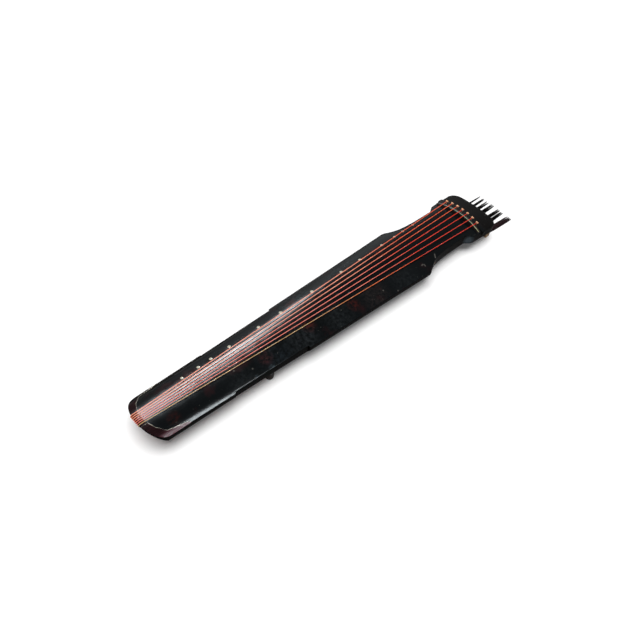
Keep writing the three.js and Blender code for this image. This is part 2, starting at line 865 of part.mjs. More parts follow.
function tassel(number) {
  const y = stringAtBridge(number);
  const cordEnd = tasselRoute[tasselRoute.length - 1][0];
  const lean = tasselSwings[number] / (cordEnd + skirtLength);
  const points = tasselRoute.map(([step, height]) => {
    return new THREE.Vector3(stringHoleAlong + step, y + lean * step, floorHeight + height);
  });
  const cord = solid(tube(points, tasselCordRadius, 8));
  const profile = [[0, -gap], [tasselCordRadius, -gap]];
  for (const [out, down] of skirtShares) {
    profile.push([skirtTipRadius * out, skirtLength * down]);
  }
  const skirt = new THREE.LatheGeometry(profile.map(([r, h]) => new THREE.Vector2(r, h)), 8);
  skirt.rotateZ(-Math.PI / 2).scale(1, 1, skirtFlatShare).rotateZ(Math.atan(lean));
  const start = points[points.length - 1];
  skirt.translate(start.x - overrunLength, start.y, floorHeight + skirtTipRadius * skirtFlatShare + gap);
  return geometryOf(cord.add(solid(skirt)));
}

add('top_board', geometryOf(topBoard()), lacquer);
add('bottom_board', geometryOf(bottomBoard()), lacquer);
const postLow = -rimDepth;
const postHigh = archRise - cavityRoof - gap;
const heavenPostHigh = archHeight(heavenPostAlong, 0) - cavityRoof - gap;
add('heaven_post', rod(heavenPostRadius, postLow, heavenPostHigh, heavenPostAlong, 0, 16), bareWood);
const earthHalf = earthPostSide / 2;
const earthPost = box(
  [earthPostAlong - earthHalf, -earthHalf, postLow],
  [earthPostAlong + earthHalf, earthHalf, postHigh],
);
add('earth_post', earthPost, bareWood);
add('dragon_pool_frame', holeFrame(poolLength, poolWidth, poolAlong), hardwood);
add('phoenix_pond_frame', holeFrame(pondLength, pondWidth, pondAlong), hardwood);
add('bridge', bridge(), hardwood);
add('bridge_saddle', saddle(), paleStone);
add('string_hole_strip', holeStrip(), lacquer);
add('tail_nut', tailNut(), crownWood);
add('lower_nut', geometryOf(bevelledBlock().intersect(lowerNutBlock(0))), crownWood);
for (const [name, side] of [['far', 1], ['near', -1]]) {
  const crown = archedBlock(crownProud).intersect(roundPlan).intersect(crownBlock(side, 0));
  add(`crown_${name}`, geometryOf(crown), crownWood);
  add(`foot_${name}`, foot(side), hardwood);
  add(`peg_guard_${name}`, pegGuard(side), hardwood);
}
studShares.forEach((share, number) => {
  const place = studPlace(number);
  const label = String(number + 1).padStart(2, '0');
  add(`stud_${label}`, plug(place, place.radius, 0, studThickness), pearl);
});
for (const number of stringNumbers) {
  const label = number + 1;
  const golden = number === stringCount - 1;
  const route = stringRoute(number);
  add(`string_${label}`, tube(route, stringDiameters[number] / 2, 8), golden ? goldSilk : redSilk);
  add(`silk_loop_${label}`, silkLoop(number), salmonSilk);
  const pegMesh = add(`peg_${label}`, peg(), hardwood);
  pegMesh.position.set(stringHoleAlong, stringAtBridge(number), 0);
  add(`tassel_${label}`, tassel(number), blackSilk);
}

// The origin is under the middle of the body, on the surface that it stands on
const tailReach = gap + widestString;
instrument.position.set(-(bodyLength - tailReach) / 2, 0, -floorHeight);

const zither = new THREE.Group();
zither.add(instrument);

export default zither;
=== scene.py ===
import math
import random

import bmesh
import bpy
from mathutils import Matrix, Vector


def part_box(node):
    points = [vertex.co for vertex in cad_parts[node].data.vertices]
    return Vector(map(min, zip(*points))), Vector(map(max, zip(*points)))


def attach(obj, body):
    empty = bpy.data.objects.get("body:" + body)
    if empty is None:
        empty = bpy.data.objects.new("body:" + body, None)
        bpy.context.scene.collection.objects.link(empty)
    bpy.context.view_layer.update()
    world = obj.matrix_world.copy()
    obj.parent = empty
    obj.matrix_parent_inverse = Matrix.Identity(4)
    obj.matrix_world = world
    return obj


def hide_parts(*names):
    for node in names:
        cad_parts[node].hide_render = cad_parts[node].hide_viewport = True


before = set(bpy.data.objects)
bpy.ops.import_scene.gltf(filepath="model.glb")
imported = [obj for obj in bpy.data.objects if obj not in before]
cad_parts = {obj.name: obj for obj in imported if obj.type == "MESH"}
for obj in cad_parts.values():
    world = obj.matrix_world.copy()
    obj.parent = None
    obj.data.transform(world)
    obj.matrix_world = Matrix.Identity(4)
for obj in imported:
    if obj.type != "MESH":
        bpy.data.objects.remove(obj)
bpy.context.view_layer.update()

# A guqin, a seven-stringed zither, lying on a pale floor with its head to +X.
# Sizes are in millimetres: along from the tail end, across from the middle line towards the
# far side, up from the rim.
MM = 0.001
BODY_LENGTH = 1216
BASE_HEIGHT = -22
RIM_DEPTH = 11
BEVEL_WIDTH = 16
tail_end_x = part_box("top_board")[1][0] - BODY_LENGTH * MM
rim_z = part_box("bottom_board")[0][2] - BASE_HEIGHT * MM
FLOOR_HEIGHT = -rim_z / MM
SIDES = ((1, "far"), (-1, "near"))

# Places along the body
NUT_ALONG = 3
CROWN_LENGTH = 97
FOOT_ALONG = 337.5
BRIDGE_ALONG = 1123
HOLE_ALONG = 1142
STRING_LENGTH = BRIDGE_ALONG - NUT_ALONG

# Plan of the body
TAIL_ROUND_LENGTH = 50
TAIL_HALF_WIDTH = 66.6
TAIL_ROUND_POWER = 2.3
WAIST_TAIL_ALONG = 221
WAIST_TAIL_HALF = 67.3
WAIST_HEAD_ALONG = 444
WAIST_HEAD_HALF = 74.6
SHOULDER_ALONG = 894.5
SHOULDER_HALF = 96.8
NECK_ALONG = 1003
NECK_HALF = 68.8
NECK_FALL = 3.6
NECK_END_ALONG = 1074
LOBE_ALONG = 1104
LOBE_HALF = 84.3
HEAD_HALF = 88
HEAD_CORNER_LENGTH = 32
HEAD_CORNER_WIDTH = 40
HEAD_CORNER_POWER = 2.5
# Half width of the body as it would be without its waist, neck and head
FULL_HALF = (
    (TAIL_ROUND_LENGTH, TAIL_HALF_WIDTH), (WAIST_TAIL_ALONG, 71), (WAIST_HEAD_ALONG, 80.2),
    (SHOULDER_ALONG, SHOULDER_HALF), (BODY_LENGTH, 98.6),
)

# The top's rise over its edge, its edge's height, and the power of its arch
RISE = ((703, 22), (BRIDGE_ALONG, 16.5), (BODY_LENGTH, 9))
EDGE_HEIGHT = ((BRIDGE_ALONG, 0), (BODY_LENGTH, -3))
ARCH_POWER = ((CROWN_LENGTH, 3.4), (WAIST_HEAD_ALONG, 2.4))

# The slope of the underside that rises to the tail end
UNDERCUT_TOP = 20
UNDERCUT_LENGTH = 44

# Fittings
STRIP_START = 1135.5
STRIP_END = 1154
STRIP_HALF_LENGTH = 89.5
STRIP_BOTTOM = -7
STRIP_PROUD = 3.6
STRIP_END_ROUND = 4
BRIDGE_HALF_LENGTH = 83
SADDLE_HALF_LENGTH = 82
SADDLE_WIDTH = 2.8
SADDLE_HEIGHT = 1.6
SADDLE_PROUD = 0.4
# Width of the saddle that shows over the groove that it is let into
SADDLE_SHOWN = 2.0
# Height of the saddle's top in the middle and at its ends, and the power of its curve
SADDLE_MIDDLE_TOP = 29.2
SADDLE_END_TOP = 10.5
SADDLE_POWER = 2.2
NUT_TOP = 24
NUT_CREST = 9
CROWN_PROUD = 0.8
FOOT_ACROSS = 52.5
FOOT_NECK_RADIUS = 9
GAP = 0.3

# Strings, from the far one to the near one
STRING_DIAMETERS = (2.2, 2.1, 2.0, 1.9, 1.8, 1.7, 1.6)
STRING_COUNT = len(STRING_DIAMETERS)
STRINGS_ASIDE = 1.2
BRIDGE_SPACING = 19.84
NUT_SPACING = 5.12


def place(along, across, up):
    """A point of the body, given in millimetres, in the shared frame."""
    return Vector((tail_end_x + along * MM, across * MM, rim_z + up * MM))


def mix(a, b, share):
    return a + (b - a) * share


def chain(stops, x):
    """Straight steps between (x, value) stops, level past both ends."""
    if x <= stops[0][0]:
        return stops[0][1]
    for (x0, a), (x1, b) in zip(stops, stops[1:]):
        if x <= x1:
            return mix(a, b, (x - x0) / (x1 - x0))
    return stops[-1][1]


def arch(x, y):
    """Height of the top board's surface."""
    share = min(abs(y) / chain(FULL_HALF, x), 1)
    return chain(EDGE_HEIGHT, x) + chain(RISE, x) * (1 - share ** chain(ARCH_POWER, x))


def plan_half(x):
    """Half width of the body, with its two waist steps, neck and head."""
    if x < TAIL_ROUND_LENGTH:
        share = (TAIL_ROUND_LENGTH - x) / TAIL_ROUND_LENGTH
        return TAIL_HALF_WIDTH * (1 - share ** TAIL_ROUND_POWER) ** (1 / TAIL_ROUND_POWER)
    if WAIST_TAIL_ALONG <= x < WAIST_HEAD_ALONG:
        share = (x - WAIST_TAIL_ALONG) / (WAIST_HEAD_ALONG - WAIST_TAIL_ALONG)
        return mix(WAIST_TAIL_HALF, WAIST_HEAD_HALF, share)
    if x < SHOULDER_ALONG:
        return chain(FULL_HALF, x)
    if x < NECK_ALONG:
        share = (x - SHOULDER_ALONG) / (NECK_ALONG - SHOULDER_ALONG)
        end = math.exp(-NECK_FALL)
        return mix(NECK_HALF, SHOULDER_HALF, (math.exp(-NECK_FALL * share) - end) / (1 - end))
    if x < NECK_END_ALONG:
        return NECK_HALF
    if x < LOBE_ALONG:
        share = (x - NECK_END_ALONG) / (LOBE_ALONG - NECK_END_ALONG)
        return mix(NECK_HALF, LOBE_HALF, (1 - math.cos(math.pi * share)) / 2)
    corner = BODY_LENGTH - HEAD_CORNER_LENGTH
    if x < corner:
        return mix(LOBE_HALF, HEAD_HALF, (x - LOBE_ALONG) / (corner - LOBE_ALONG))
    share = min((x - corner) / HEAD_CORNER_LENGTH, 1)
    bulge = (1 - share ** HEAD_CORNER_POWER) ** (1 / HEAD_CORNER_POWER)
    return HEAD_HALF - HEAD_CORNER_WIDTH + HEAD_CORNER_WIDTH * bulge


# Distances over which the plan is averaged, and how near the tail end that stops
STEP_SOFTENING = (-0.9, -0.3, 0.3, 0.9)
SHARP_END = 1


def soft_half(x):
    """The plan with its sharp steps worn a little round."""
    if x <= SHARP_END:
        return plan_half(x)
    halves = [plan_half(min(max(x + d, 0), BODY_LENGTH)) for d in STEP_SOFTENING]
    return sum(halves) / len(halves)


def side_half(x, z):
    """Half width of the body at a height below the rim, with the bottom board's rounded edge."""
    half = soft_half(x)
    if z >= -RIM_DEPTH:
        return half
    turn = math.asin(min((-RIM_DEPTH - z) / (-RIM_DEPTH - BASE_HEIGHT), 1))
    return min(half, chain(FULL_HALF, x) - BEVEL_WIDTH * (1 - math.cos(turn)))


def base(x):
    """Height of the underside: the tail's undercut, the flat base, the rounded head end."""
    low = max(BASE_HEIGHT, mix(UNDERCUT_TOP, BASE_HEIGHT, x / UNDERCUT_LENGTH))
    if x > BODY_LENGTH - BEVEL_WIDTH:
        turn = math.acos(max(1 - (BODY_LENGTH - x) / BEVEL_WIDTH, 0))
        low = -RIM_DEPTH + (BASE_HEIGHT + RIM_DEPTH) * math.sin(turn)
    return low


def saddle_top(y):
    share = (abs(y) / SADDLE_HALF_LENGTH) ** SADDLE_POWER
    return mix(SADDLE_MIDDLE_TOP, SADDLE_END_TOP, share)


def string_at_bridge(number):
    return STRINGS_ASIDE + ((STRING_COUNT - 1) / 2 - number) * BRIDGE_SPACING


def string_at_nut(number):
    return STRINGS_ASIDE + ((STRING_COUNT - 1) / 2 - number) * NUT_SPACING


# The photograph's view
CAMERA_TARGET = Vector((-0.04375, 0.0012, 0.057))
CAMERA_AZIMUTH = -49.21
CAMERA_ELEVATION = 48.55
CAMERA_ROLL = 8.12
CAMERA_DISTANCE = 1.722
CAMERA_LENS = 36.956
CAMERA_SHIFT = (-0.0044, -0.0222)
CAMERA_CLIP_END = 100


def make_camera():
    azimuth, elevation, roll = (
        math.radians(a) for a in (CAMERA_AZIMUTH, CAMERA_ELEVATION, CAMERA_ROLL)
    )
    back = Vector((
        math.sin(azimuth) * math.cos(elevation),
        -math.cos(azimuth) * math.cos(elevation),
        math.sin(elevation),
    ))
    right = Vector((math.cos(azimuth), math.sin(azimuth), 0))
    up = back.cross(right)
    turned_right = math.cos(roll) * right + math.sin(roll) * up
    turned_up = math.cos(roll) * up - math.sin(roll) * right
    data = bpy.data.cameras.new("camera")
    data.lens = CAMERA_LENS
    data.shift_x, data.shift_y = CAMERA_SHIFT
    data.clip_end = CAMERA_CLIP_END
    camera = bpy.data.objects.new("camera", data)
    bpy.context.collection.objects.link(camera)
    turn = Matrix((turned_right, turned_up, back)).transposed().to_4x4()
    camera.matrix_world = Matrix.Translation(CAMERA_TARGET + back * CAMERA_DISTANCE) @ turn
    bpy.context.scene.camera = camera


# Materials


def shade(code):
    """An sRGB hex value as linear colour."""
    parts = [int(code[i:i + 2], 16) / 255 for i in (1, 3, 5)]
    linear = [c / 12.92 if c <= 0.04045 else ((c + 0.055) / 1.055) ** 2.4 for c in parts]
    return (*linear, 1)


def feed(tree, node, inputs):
    """Sets a node's sockets, each to a value or a hex colour, or links it to a socket or to
    the first output that a node has in use."""
    for key, value in inputs.items():
        if isinstance(value, bpy.types.Node):
            value = next(output for output in value.outputs if output.enabled)
        if isinstance(value, bpy.types.NodeSocket):
            tree.links.new(value, node.inputs[key])
        else:
            node.inputs[key].default_value = shade(value) if isinstance(value, str) else value


def add(tree, kind, inputs=None, stops=(), **settings):
    """Adds a shader node: inputs are what feed takes, stops a ramp's places and colours or
    greys, and settings the node's own."""
    node = tree.nodes.new("ShaderNode" + kind)
    for key, value in settings.items():
        setattr(node, key, value)
    if stops:
        elements = node.color_ramp.elements
        while len(elements) < len(stops):
            elements.new(0.5)
        for element, (position, value) in zip(elements, stops):
            element.position = position
            element.color = shade(value) if isinstance(value, str) else (value, value, value, 1)
    feed(tree, node, inputs or {})
    return node


def start(name):
    """A new material, its node tree, its Principled shader and its Object coordinates."""
    made = bpy.data.materials.new(name)
    made.use_nodes = True
    tree = made.node_tree
    return made, tree, tree.nodes["Principled BSDF"], add(tree, "TexCoord").outputs["Object"]


def every(size_mm):
    """The scale at which a noise has its blotches about size_mm apart."""
    return 1 / (size_mm * MM)


def blotches(tree, vector, size_mm, detail, stops, roughness=0.5):
    """Blotches about size_mm apart, in the colours or greys of their stops."""
    noise = add(tree, "TexNoise", {
        "Vector": vector, "Scale": every(size_mm), "Detail": detail, "Roughness": roughness,
    })
    return add(tree, "ValToRGB", {"Fac": noise}, stops)


def grained(tree, flat, stretch, size_mm, detail, roughness=0.6):
    """Noise drawn out into grain or layers, about size_mm apart across them."""
    drawn = add(tree, "Mapping", {"Vector": flat, "Scale": stretch})
    return add(tree, "TexNoise", {
        "Vector": drawn, "Scale": every(size_mm), "Detail": detail, "Roughness": roughness,
    })


def surface(tree, shader, colour, rough, height, depth_mm, specular, ior=1.5):
    """The shader's colour, roughness, relief and gloss."""
    relief = add(tree, "Bump", {"Height": height, "Distance": depth_mm * MM, "Strength": 1.0})
    feed(tree, shader, {
        "Base Color": colour, "Roughness": rough, "Normal": relief,
        "IOR": ior, "Specular IOR Level": specular,
    })


# Sockets of a Mix node that mixes colours
FACTOR, BELOW, ABOVE = 0, 6, 7
# Share of a spot's radius inside which it is full
SPOT_CORE_SHARE = 0.35


def spot(tree, flat, along, across, up, radius):
    """A soft round mask about a place of the body, one in its middle and none at its radius."""
    away = add(tree, "VectorMath", {0: flat, 1: place(along, across, up)}, operation="DISTANCE")
    return add(tree, "MapRange", {
        "Value": away.outputs["Value"],
        "From Min": radius * MM, "From Max": radius * MM * SPOT_CORE_SHARE,
    })


def stain(tree, colour, tint, mask, strength):
    """The colour with a tint over it where the mask shows, at a strength or a second mask."""
    weight = add(tree, "Math", {0: mask, 1: strength}, operation="MULTIPLY")
    return add(tree, "Mix", {FACTOR: weight, BELOW: colour, ABOVE: tint}, data_type="RGBA")


# Painted sheen and highlights of the top, grey-blue patches where the lacquer reflects light, their
# middles at one height: along, across, radius, strength, colour
PAINTED_SHEEN_UP = 12
PAINTED_SHEEN = (
    (560, -62, 60, 0.25, "#3a3f41"),
    (440, -56, 60, 0.2, "#4a5054"),
    (350, -60, 60, 0.12, "#46525c"),
    (250, -50, 50, 0.3, "#2c3032"),
    (690, -62, 60, 0.3, "#3c3433"),
    (800, -75, 60, 0.3, "#2c3032"),
    (285, -74, 13, 1.0, "#56646c"),
    (330, -76, 15, 1.0, "#5c6a72"),
    (372, -78, 14, 1.0, "#39434a"),
    (500, 52, 70, 0.4, "#2f373b"),
    (700, 66, 80, 0.4, "#293033"),
)

# Rusty clouds, in the same way
RUST_UP = 14
RUST_COLOUR = "#3a1512"
RUST = (
    (478, -31, 26, 0.9, RUST_COLOUR),
    (620, -55, 22, 0.9, RUST_COLOUR),
    (493, 50, 22, 0.7, RUST_COLOUR),
    (330, -42, 24, 0.6, RUST_COLOUR),
    (70, -42, 20, 0.5, RUST_COLOUR),
)

# Faint rust everywhere, which fades out between two places on the way to the head
FAINT_RUST_STRENGTH = 0.45
FAINT_RUST_END = 940
FAINT_RUST_FULL = 860

# The head, past the bridge, is blacker than the rest
HEAD_TONE_START = 1140
HEAD_TONE_FULL = 1160

# Scratches and chips of the near side, and a painted highlight streak at the neck's corner, the
# four points from 940 along: along and across
MARK_RADIUS = 3
MARK_STRENGTH = 0.3
MARKS_AND_GLINT = (
    (878, -69), (882, -68.5), (886, -71), (886, -75), (940, -63), (938, -66), (936, -69),
    (934, -72), (760, -88), (721, -67), (247, -28), (287, -48),
)


def raw_lacquer():
    """Raw lacquer over horn-ash ground, rubbed: near black, deep and glassy, with rusty
    clouds where the ground shows through, pale specks of ash, hairline scratches, painted
    patches of sheen and highlight, and a painted highlight streak by the neck."""
    made, tree, shader, flat = start("raw_lacquer_over_horn_ash")
    place_x = add(tree, "SeparateXYZ", {"Vector": flat}).outputs["X"]
    colour = blotches(tree, flat, 160, 2, ((0.3, "#030506"), (0.7, "#080b0d")))

    # Patches of painted sheen and highlight, and rusty places, broken up by a fine mottle
    mottle = blotches(tree, flat, 8, 5, ((0.4, 0.0), (0.68, 1.0)), 0.65)
    for up, places in ((PAINTED_SHEEN_UP, PAINTED_SHEEN), (RUST_UP, RUST)):
        for along, across, radius, strength, tint in places:
            round_place = spot(tree, flat, along, across, up, radius)
            mask = add(tree, "Math", {0: round_place, 1: mottle}, operation="MULTIPLY")
            colour = stain(tree, colour, tint, mask, strength)

    # Faint rust over the whole body
    body_side = add(tree, "MapRange", {
        "Value": place_x, "To Max": FAINT_RUST_STRENGTH,
        "From Min": place(FAINT_RUST_END, 0, 0).x, "From Max": place(FAINT_RUST_FULL, 0, 0).x,
    })
    rust = blotches(tree, flat, 60, 4, ((0.58, 0.0), (0.7, 1.0)))
    colour = stain(tree, colour, "#2c1214", rust, body_side)

    # The blacker head
    head_side = add(tree, "MapRange", {
        "Value": place_x,
        "From Min": place(HEAD_TONE_START, 0, 0).x, "From Max": place(HEAD_TONE_FULL, 0, 0).x,
    })
    colour = stain(tree, colour, "#040303", head_side, 1.0)

    # Specks of horn ash, in loose swarms, the scratches of the near side and the painted highlight
    # streak by the neck
    specks = blotches(tree, flat, 3.4, 1, ((0.74, 0.0), (0.8, 1.0)))
    swarms = blotches(tree, flat, 26, 2, ((0.52, 0.0), (0.62, 0.6)))
    colour = stain(tree, colour, "#8a8a80", specks, swarms)
    for along, across in MARKS_AND_GLINT:
        round_place = spot(tree, flat, along, across, arch(along, across), MARK_RADIUS)
        colour = stain(tree, colour, "#7c7a74", round_place, MARK_STRENGTH)

    # Polish, duller in patches and along hairline scratches
    drawn_out = add(tree, "Mapping", {
        "Vector": flat, "Scale": (1, 14, 14), "Rotation": (0, 0, 0.2),
    })
    scratches = blotches(tree, drawn_out, 18, 2, ((0.62, 0.0), (0.66, 0.3)))
    polish = blotches(tree, flat, 34, 4, ((0.3, 0.14), (0.75, 0.24)))
    rough = add(tree, "Mix", {
        FACTOR: scratches, BELOW: polish, ABOVE: (0.5, 0.5, 0.5, 1),
    }, data_type="RGBA")

    # Slow waves of the hand-laid ground with a little fine grit
    slow = add(tree, "TexNoise", {"Vector": flat, "Scale": every(22), "Detail": 2})
    grit = add(tree, "TexNoise", {"Vector": flat, "Scale": every(3), "Detail": 2})
    waves = add(tree, "Mix", {FACTOR: 0.08, BELOW: slow, ABOVE: grit}, data_type="RGBA")
    surface(tree, shader, colour, rough, waves, 0.14, 0.035)
    return made


# The painted highlight, a grey patch, on each lobe of the head
LOBE_HIGHLIGHT_ALONG = 1089
LOBE_HIGHLIGHT_ACROSS = 76
LOBE_HIGHLIGHT_UP = -9
LOBE_HIGHLIGHT_RADIUS = 21


def shaded_side_lacquer():
    """The same lacquer on the walls as a darker, duller copy that stands in for shade:
    brownish black, with a painted highlight, a grey patch, on each lobe of the head."""
    made, tree, shader, flat = start("dull_side_lacquer")
    cloud = add(tree, "TexNoise", {"Vector": flat, "Scale": every(30), "Detail": 4})
    colour = add(tree, "ValToRGB", {"Fac": cloud}, (
        (0.35, "#020202"), (0.6, "#080706"), (0.75, "#100e0b"),
    ))
    mottle = blotches(tree, flat, 6, 3, ((0.3, 0.75), (0.7, 1.0)))
    # Painted highlight, a grey patch, on each lobe's wall
    for side in (-1, 1):
        patch = spot(
            tree, flat, LOBE_HIGHLIGHT_ALONG, side * LOBE_HIGHLIGHT_ACROSS, LOBE_HIGHLIGHT_UP,
            LOBE_HIGHLIGHT_RADIUS,
        )
        colour = stain(tree, colour, "#40484d", patch, mottle)
    rough = add(tree, "ValToRGB", {"Fac": cloud}, ((0.3, 0.34), (0.7, 0.5)))
    dents = add(tree, "TexNoise", {"Vector": flat, "Scale": every(5), "Detail": 3})
    surface(tree, shader, colour, rough, dents, 0.08, 0.006)
    return made


def dark_hardwood():
    """Rosewood, turned or planed and oiled: near black with fine brown grain, a soft gloss."""
    made, tree, shader, flat = start("oiled_rosewood")
    grain = grained(tree, flat, (1, 1, 0.12), 2.2, 5)
    colour = add(tree, "ValToRGB", {"Fac": grain}, (
        (0.3, "#0b0908"), (0.55, "#1a1210"), (0.75, "#2e1d17"),
    ))
    rough = add(tree, "ValToRGB", {"Fac": grain}, ((0.3, 0.3), (0.7, 0.48)))
    surface(tree, shader, colour, rough, grain, 0.12, 0.08)
    return made


# The crowns' redder rim, from where it starts to where it is full, across
CROWN_RIM_START = 54
CROWN_RIM_FULL = 62


def crown_wood():
    """Rosewood under clear lacquer: dark red brown, glossy, grain running along."""
    made, tree, shader, flat = start("lacquered_rosewood")
    grain = grained(tree, flat, (0.12, 1, 1), 2.6, 5)
    colour = add(tree, "ValToRGB", {"Fac": grain}, (
        (0.3, "#0c0506"), (0.55, "#1c0c0f"), (0.78, "#32171c"),
    ))
    across = add(tree, "SeparateXYZ", {"Vector": flat}).outputs["Y"]
    aside = add(tree, "Math", {0: across}, operation="ABSOLUTE")
    rim = add(tree, "MapRange", {
        "Value": aside, "From Min": CROWN_RIM_START * MM, "From Max": CROWN_RIM_FULL * MM,
    })
    colour = stain(tree, colour, "#5a2632", rim, 0.6)
    rough = blotches(tree, flat, 20, 3, ((0.3, 0.1), (0.75, 0.2)))
    surface(tree, shader, colour, rough, grain, 0.06, 0.028)
    return made


def paulownia():
    """Bare paulownia inside the sound box: pale brown, open straight grain, dry."""
    made, tree, shader, flat = start("bare_paulownia")
    grain = grained(tree, flat, (0.06, 1, 1), 3, 4)
    colour = add(tree, "ValToRGB", {"Fac": grain}, (
        (0.3, "#7d5f42"), (0.6, "#a98862"), (0.8, "#bd9d75"),
    ))
    rough = add(tree, "ValToRGB", {"Fac": grain}, ((0.2, 0.7), (0.8, 0.9)))
    surface(tree, shader, colour, rough, grain, 0.3, 0.3)
    return made


# The saddle goes from painted shade to pale painted light, from this far on the far side to as far
# on the near one
JADE_SHADING_HALF_LENGTH = 80


def pale_jade():
    """Jade strip on the bridge, ground and polished: grey green, darkened by painted shade towards
    its far end, paler and yellower near with painted light.
    """
    made, tree, shader, flat = start("pale_jade")
    across = add(tree, "SeparateXYZ", {"Vector": flat}).outputs["Y"]
    share = add(tree, "MapRange", {
        "Value": across, "From Min": JADE_SHADING_HALF_LENGTH * MM, "From Max": -JADE_SHADING_HALF_LENGTH * MM,
    })
    # Painted shade darkens the far end and painted light pales the near one
    stone_with_painted_light = add(tree, "ValToRGB", {"Fac": share}, (
        (0.0, "#26302c"), (0.16, "#5a7570"), (0.45, "#90a89c"), (0.8, "#b4baa0"), (1, "#bcb98e"),
    ))
    veins = blotches(tree, flat, 7, 4, ((0.4, "#ffffff"), (0.7, "#c3cdbc")))
    colour = add(
        tree, "Mix", {FACTOR: 1.0, BELOW: stone_with_painted_light, ABOVE: veins},
        data_type="RGBA", blend_type="MULTIPLY",
    )
    rough = blotches(tree, flat, 4, 2, ((0.3, 0.2), (0.7, 0.36)))
    feed(tree, shader, {
        "Base Color": colour, "Roughness": rough, "IOR": 1.6, "Specular IOR Level": 0.05,
        "Subsurface Weight": 0.1, "Subsurface Radius": (0.003, 0.004, 0.003),
    })
    return made


def pearl():
    """Mother of pearl studs, cut flat and polished: cream with green and rose layers."""
    made, tree, shader, flat = start("mother_of_pearl")
    layers = grained(tree, flat, (1, 2.5, 1), 3.5, 3)
    colour = add(tree, "ValToRGB", {"Fac": layers}, (
        (0.25, "#7c7564"), (0.45, "#b4ac98"), (0.6, "#a2a696"), (0.75, "#b4a294"),
    ))
    rough = blotches(tree, flat, 2, 2, ((0.3, 0.16), (0.7, 0.32)))
    surface(tree, shader, colour, rough, layers, 0.05, 0.04, 1.55)
    return made


# Twisted silk: plies a round of the cord, and where along +X its tones of painted light and shade
# start and end, in metres
PLIES = 3
SHADE_TONES_START_X = -0.6
SHADE_TONES_END_X = 0.52


def silk(name, stops, pitch_mm, sheen=0.1, gloss=0.2, shade_tones=None):
    """Twisted silk cord: slanting plies along the cord, each with its own soft line of
    painted light. stops are the colours of the dip between plies, in painted shade, the ply
    and its crest, a painted highlight, and the tones, painted light and shade, change them
    from the tail to the head. A pitch is drawn as coarse as it has to be to show."""
    made, tree, shader, flat = start(name)
    parts = add(tree, "SeparateXYZ", {"Vector": add(tree, "TexCoord").outputs["UV"]})
    turns = add(
        tree, "Math", {0: parts.outputs["X"], 1: every(pitch_mm)}, operation="MULTIPLY",
    )
    rounds = add(tree, "Math", {0: parts.outputs["Y"], 1: PLIES}, operation="MULTIPLY")
    plies = add(tree, "Math", {0: turns, 1: rounds}, operation="ADD")
    turn = add(tree, "Math", {0: plies, 1: 2 * math.pi}, operation="MULTIPLY")
    swing = add(tree, "Math", {0: turn}, operation="SINE")
    wave = add(tree, "MapRange", {"Value": swing, "From Min": -1})
    fibre = add(tree, "TexNoise", {"Vector": flat, "Scale": every(1.2), "Detail": 3})
    height = add(tree, "Mix", {FACTOR: 0.25, BELOW: wave, ABOVE: fibre}, data_type="RGBA")
    # Painted shade in the dips between plies and a painted highlight on each crest
    colour = add(tree, "ValToRGB", {"Fac": height}, tuple(zip((0.1, 0.5, 0.9), stops)))
    # Painted light and shade along the string: paler at the tail, deeper at the head
    if shade_tones:
        place_x = add(tree, "SeparateXYZ", {"Vector": flat}).outputs["X"]
        share = add(tree, "MapRange", {
            "Value": place_x, "From Min": SHADE_TONES_START_X, "From Max": SHADE_TONES_END_X,
        })
        tone = add(tree, "ValToRGB", {"Fac": share}, shade_tones)
        colour = add(
            tree, "Mix", {FACTOR: 1.0, BELOW: colour, ABOVE: tone},
            data_type="RGBA", blend_type="MULTIPLY",
        )
    rough = add(tree, "ValToRGB", {"Fac": fibre}, ((0.3, 0.35), (0.7, 0.55)))
    surface(tree, shader, colour, rough, height, 0.12, gloss)
    feed(tree, shader, {"Sheen Weight": sheen, "Sheen Roughness": 0.4})
    return made


def brass_wire():
    """Thin brass wire let into the crown's edge, dulled: grey gold."""
    made, tree, shader, flat = start("dull_brass_wire")
    tone = add(tree, "TexNoise", {"Vector": flat, "Scale": every(9), "Detail": 3})
    colour = add(tree, "ValToRGB", {"Fac": tone}, (
        (0.3, "#35302c"), (0.6, "#6a635b"), (0.8, "#8d857a"),
    ))
    rough = add(tree, "ValToRGB", {"Fac": tone}, ((0.3, 0.3), (0.7, 0.5)))
    feed(tree, shader, {"Base Color": colour, "Roughness": rough, "Metallic": 0.8})
    return made


# Where the guards are worn bare: heights over the floor, and places along, from start to full
GUARD_WORN_TOP = 20
GUARD_WORN_FULL = 12
GUARD_WORN_START_ALONG = 1208
GUARD_WORN_FULL_ALONG = 1203


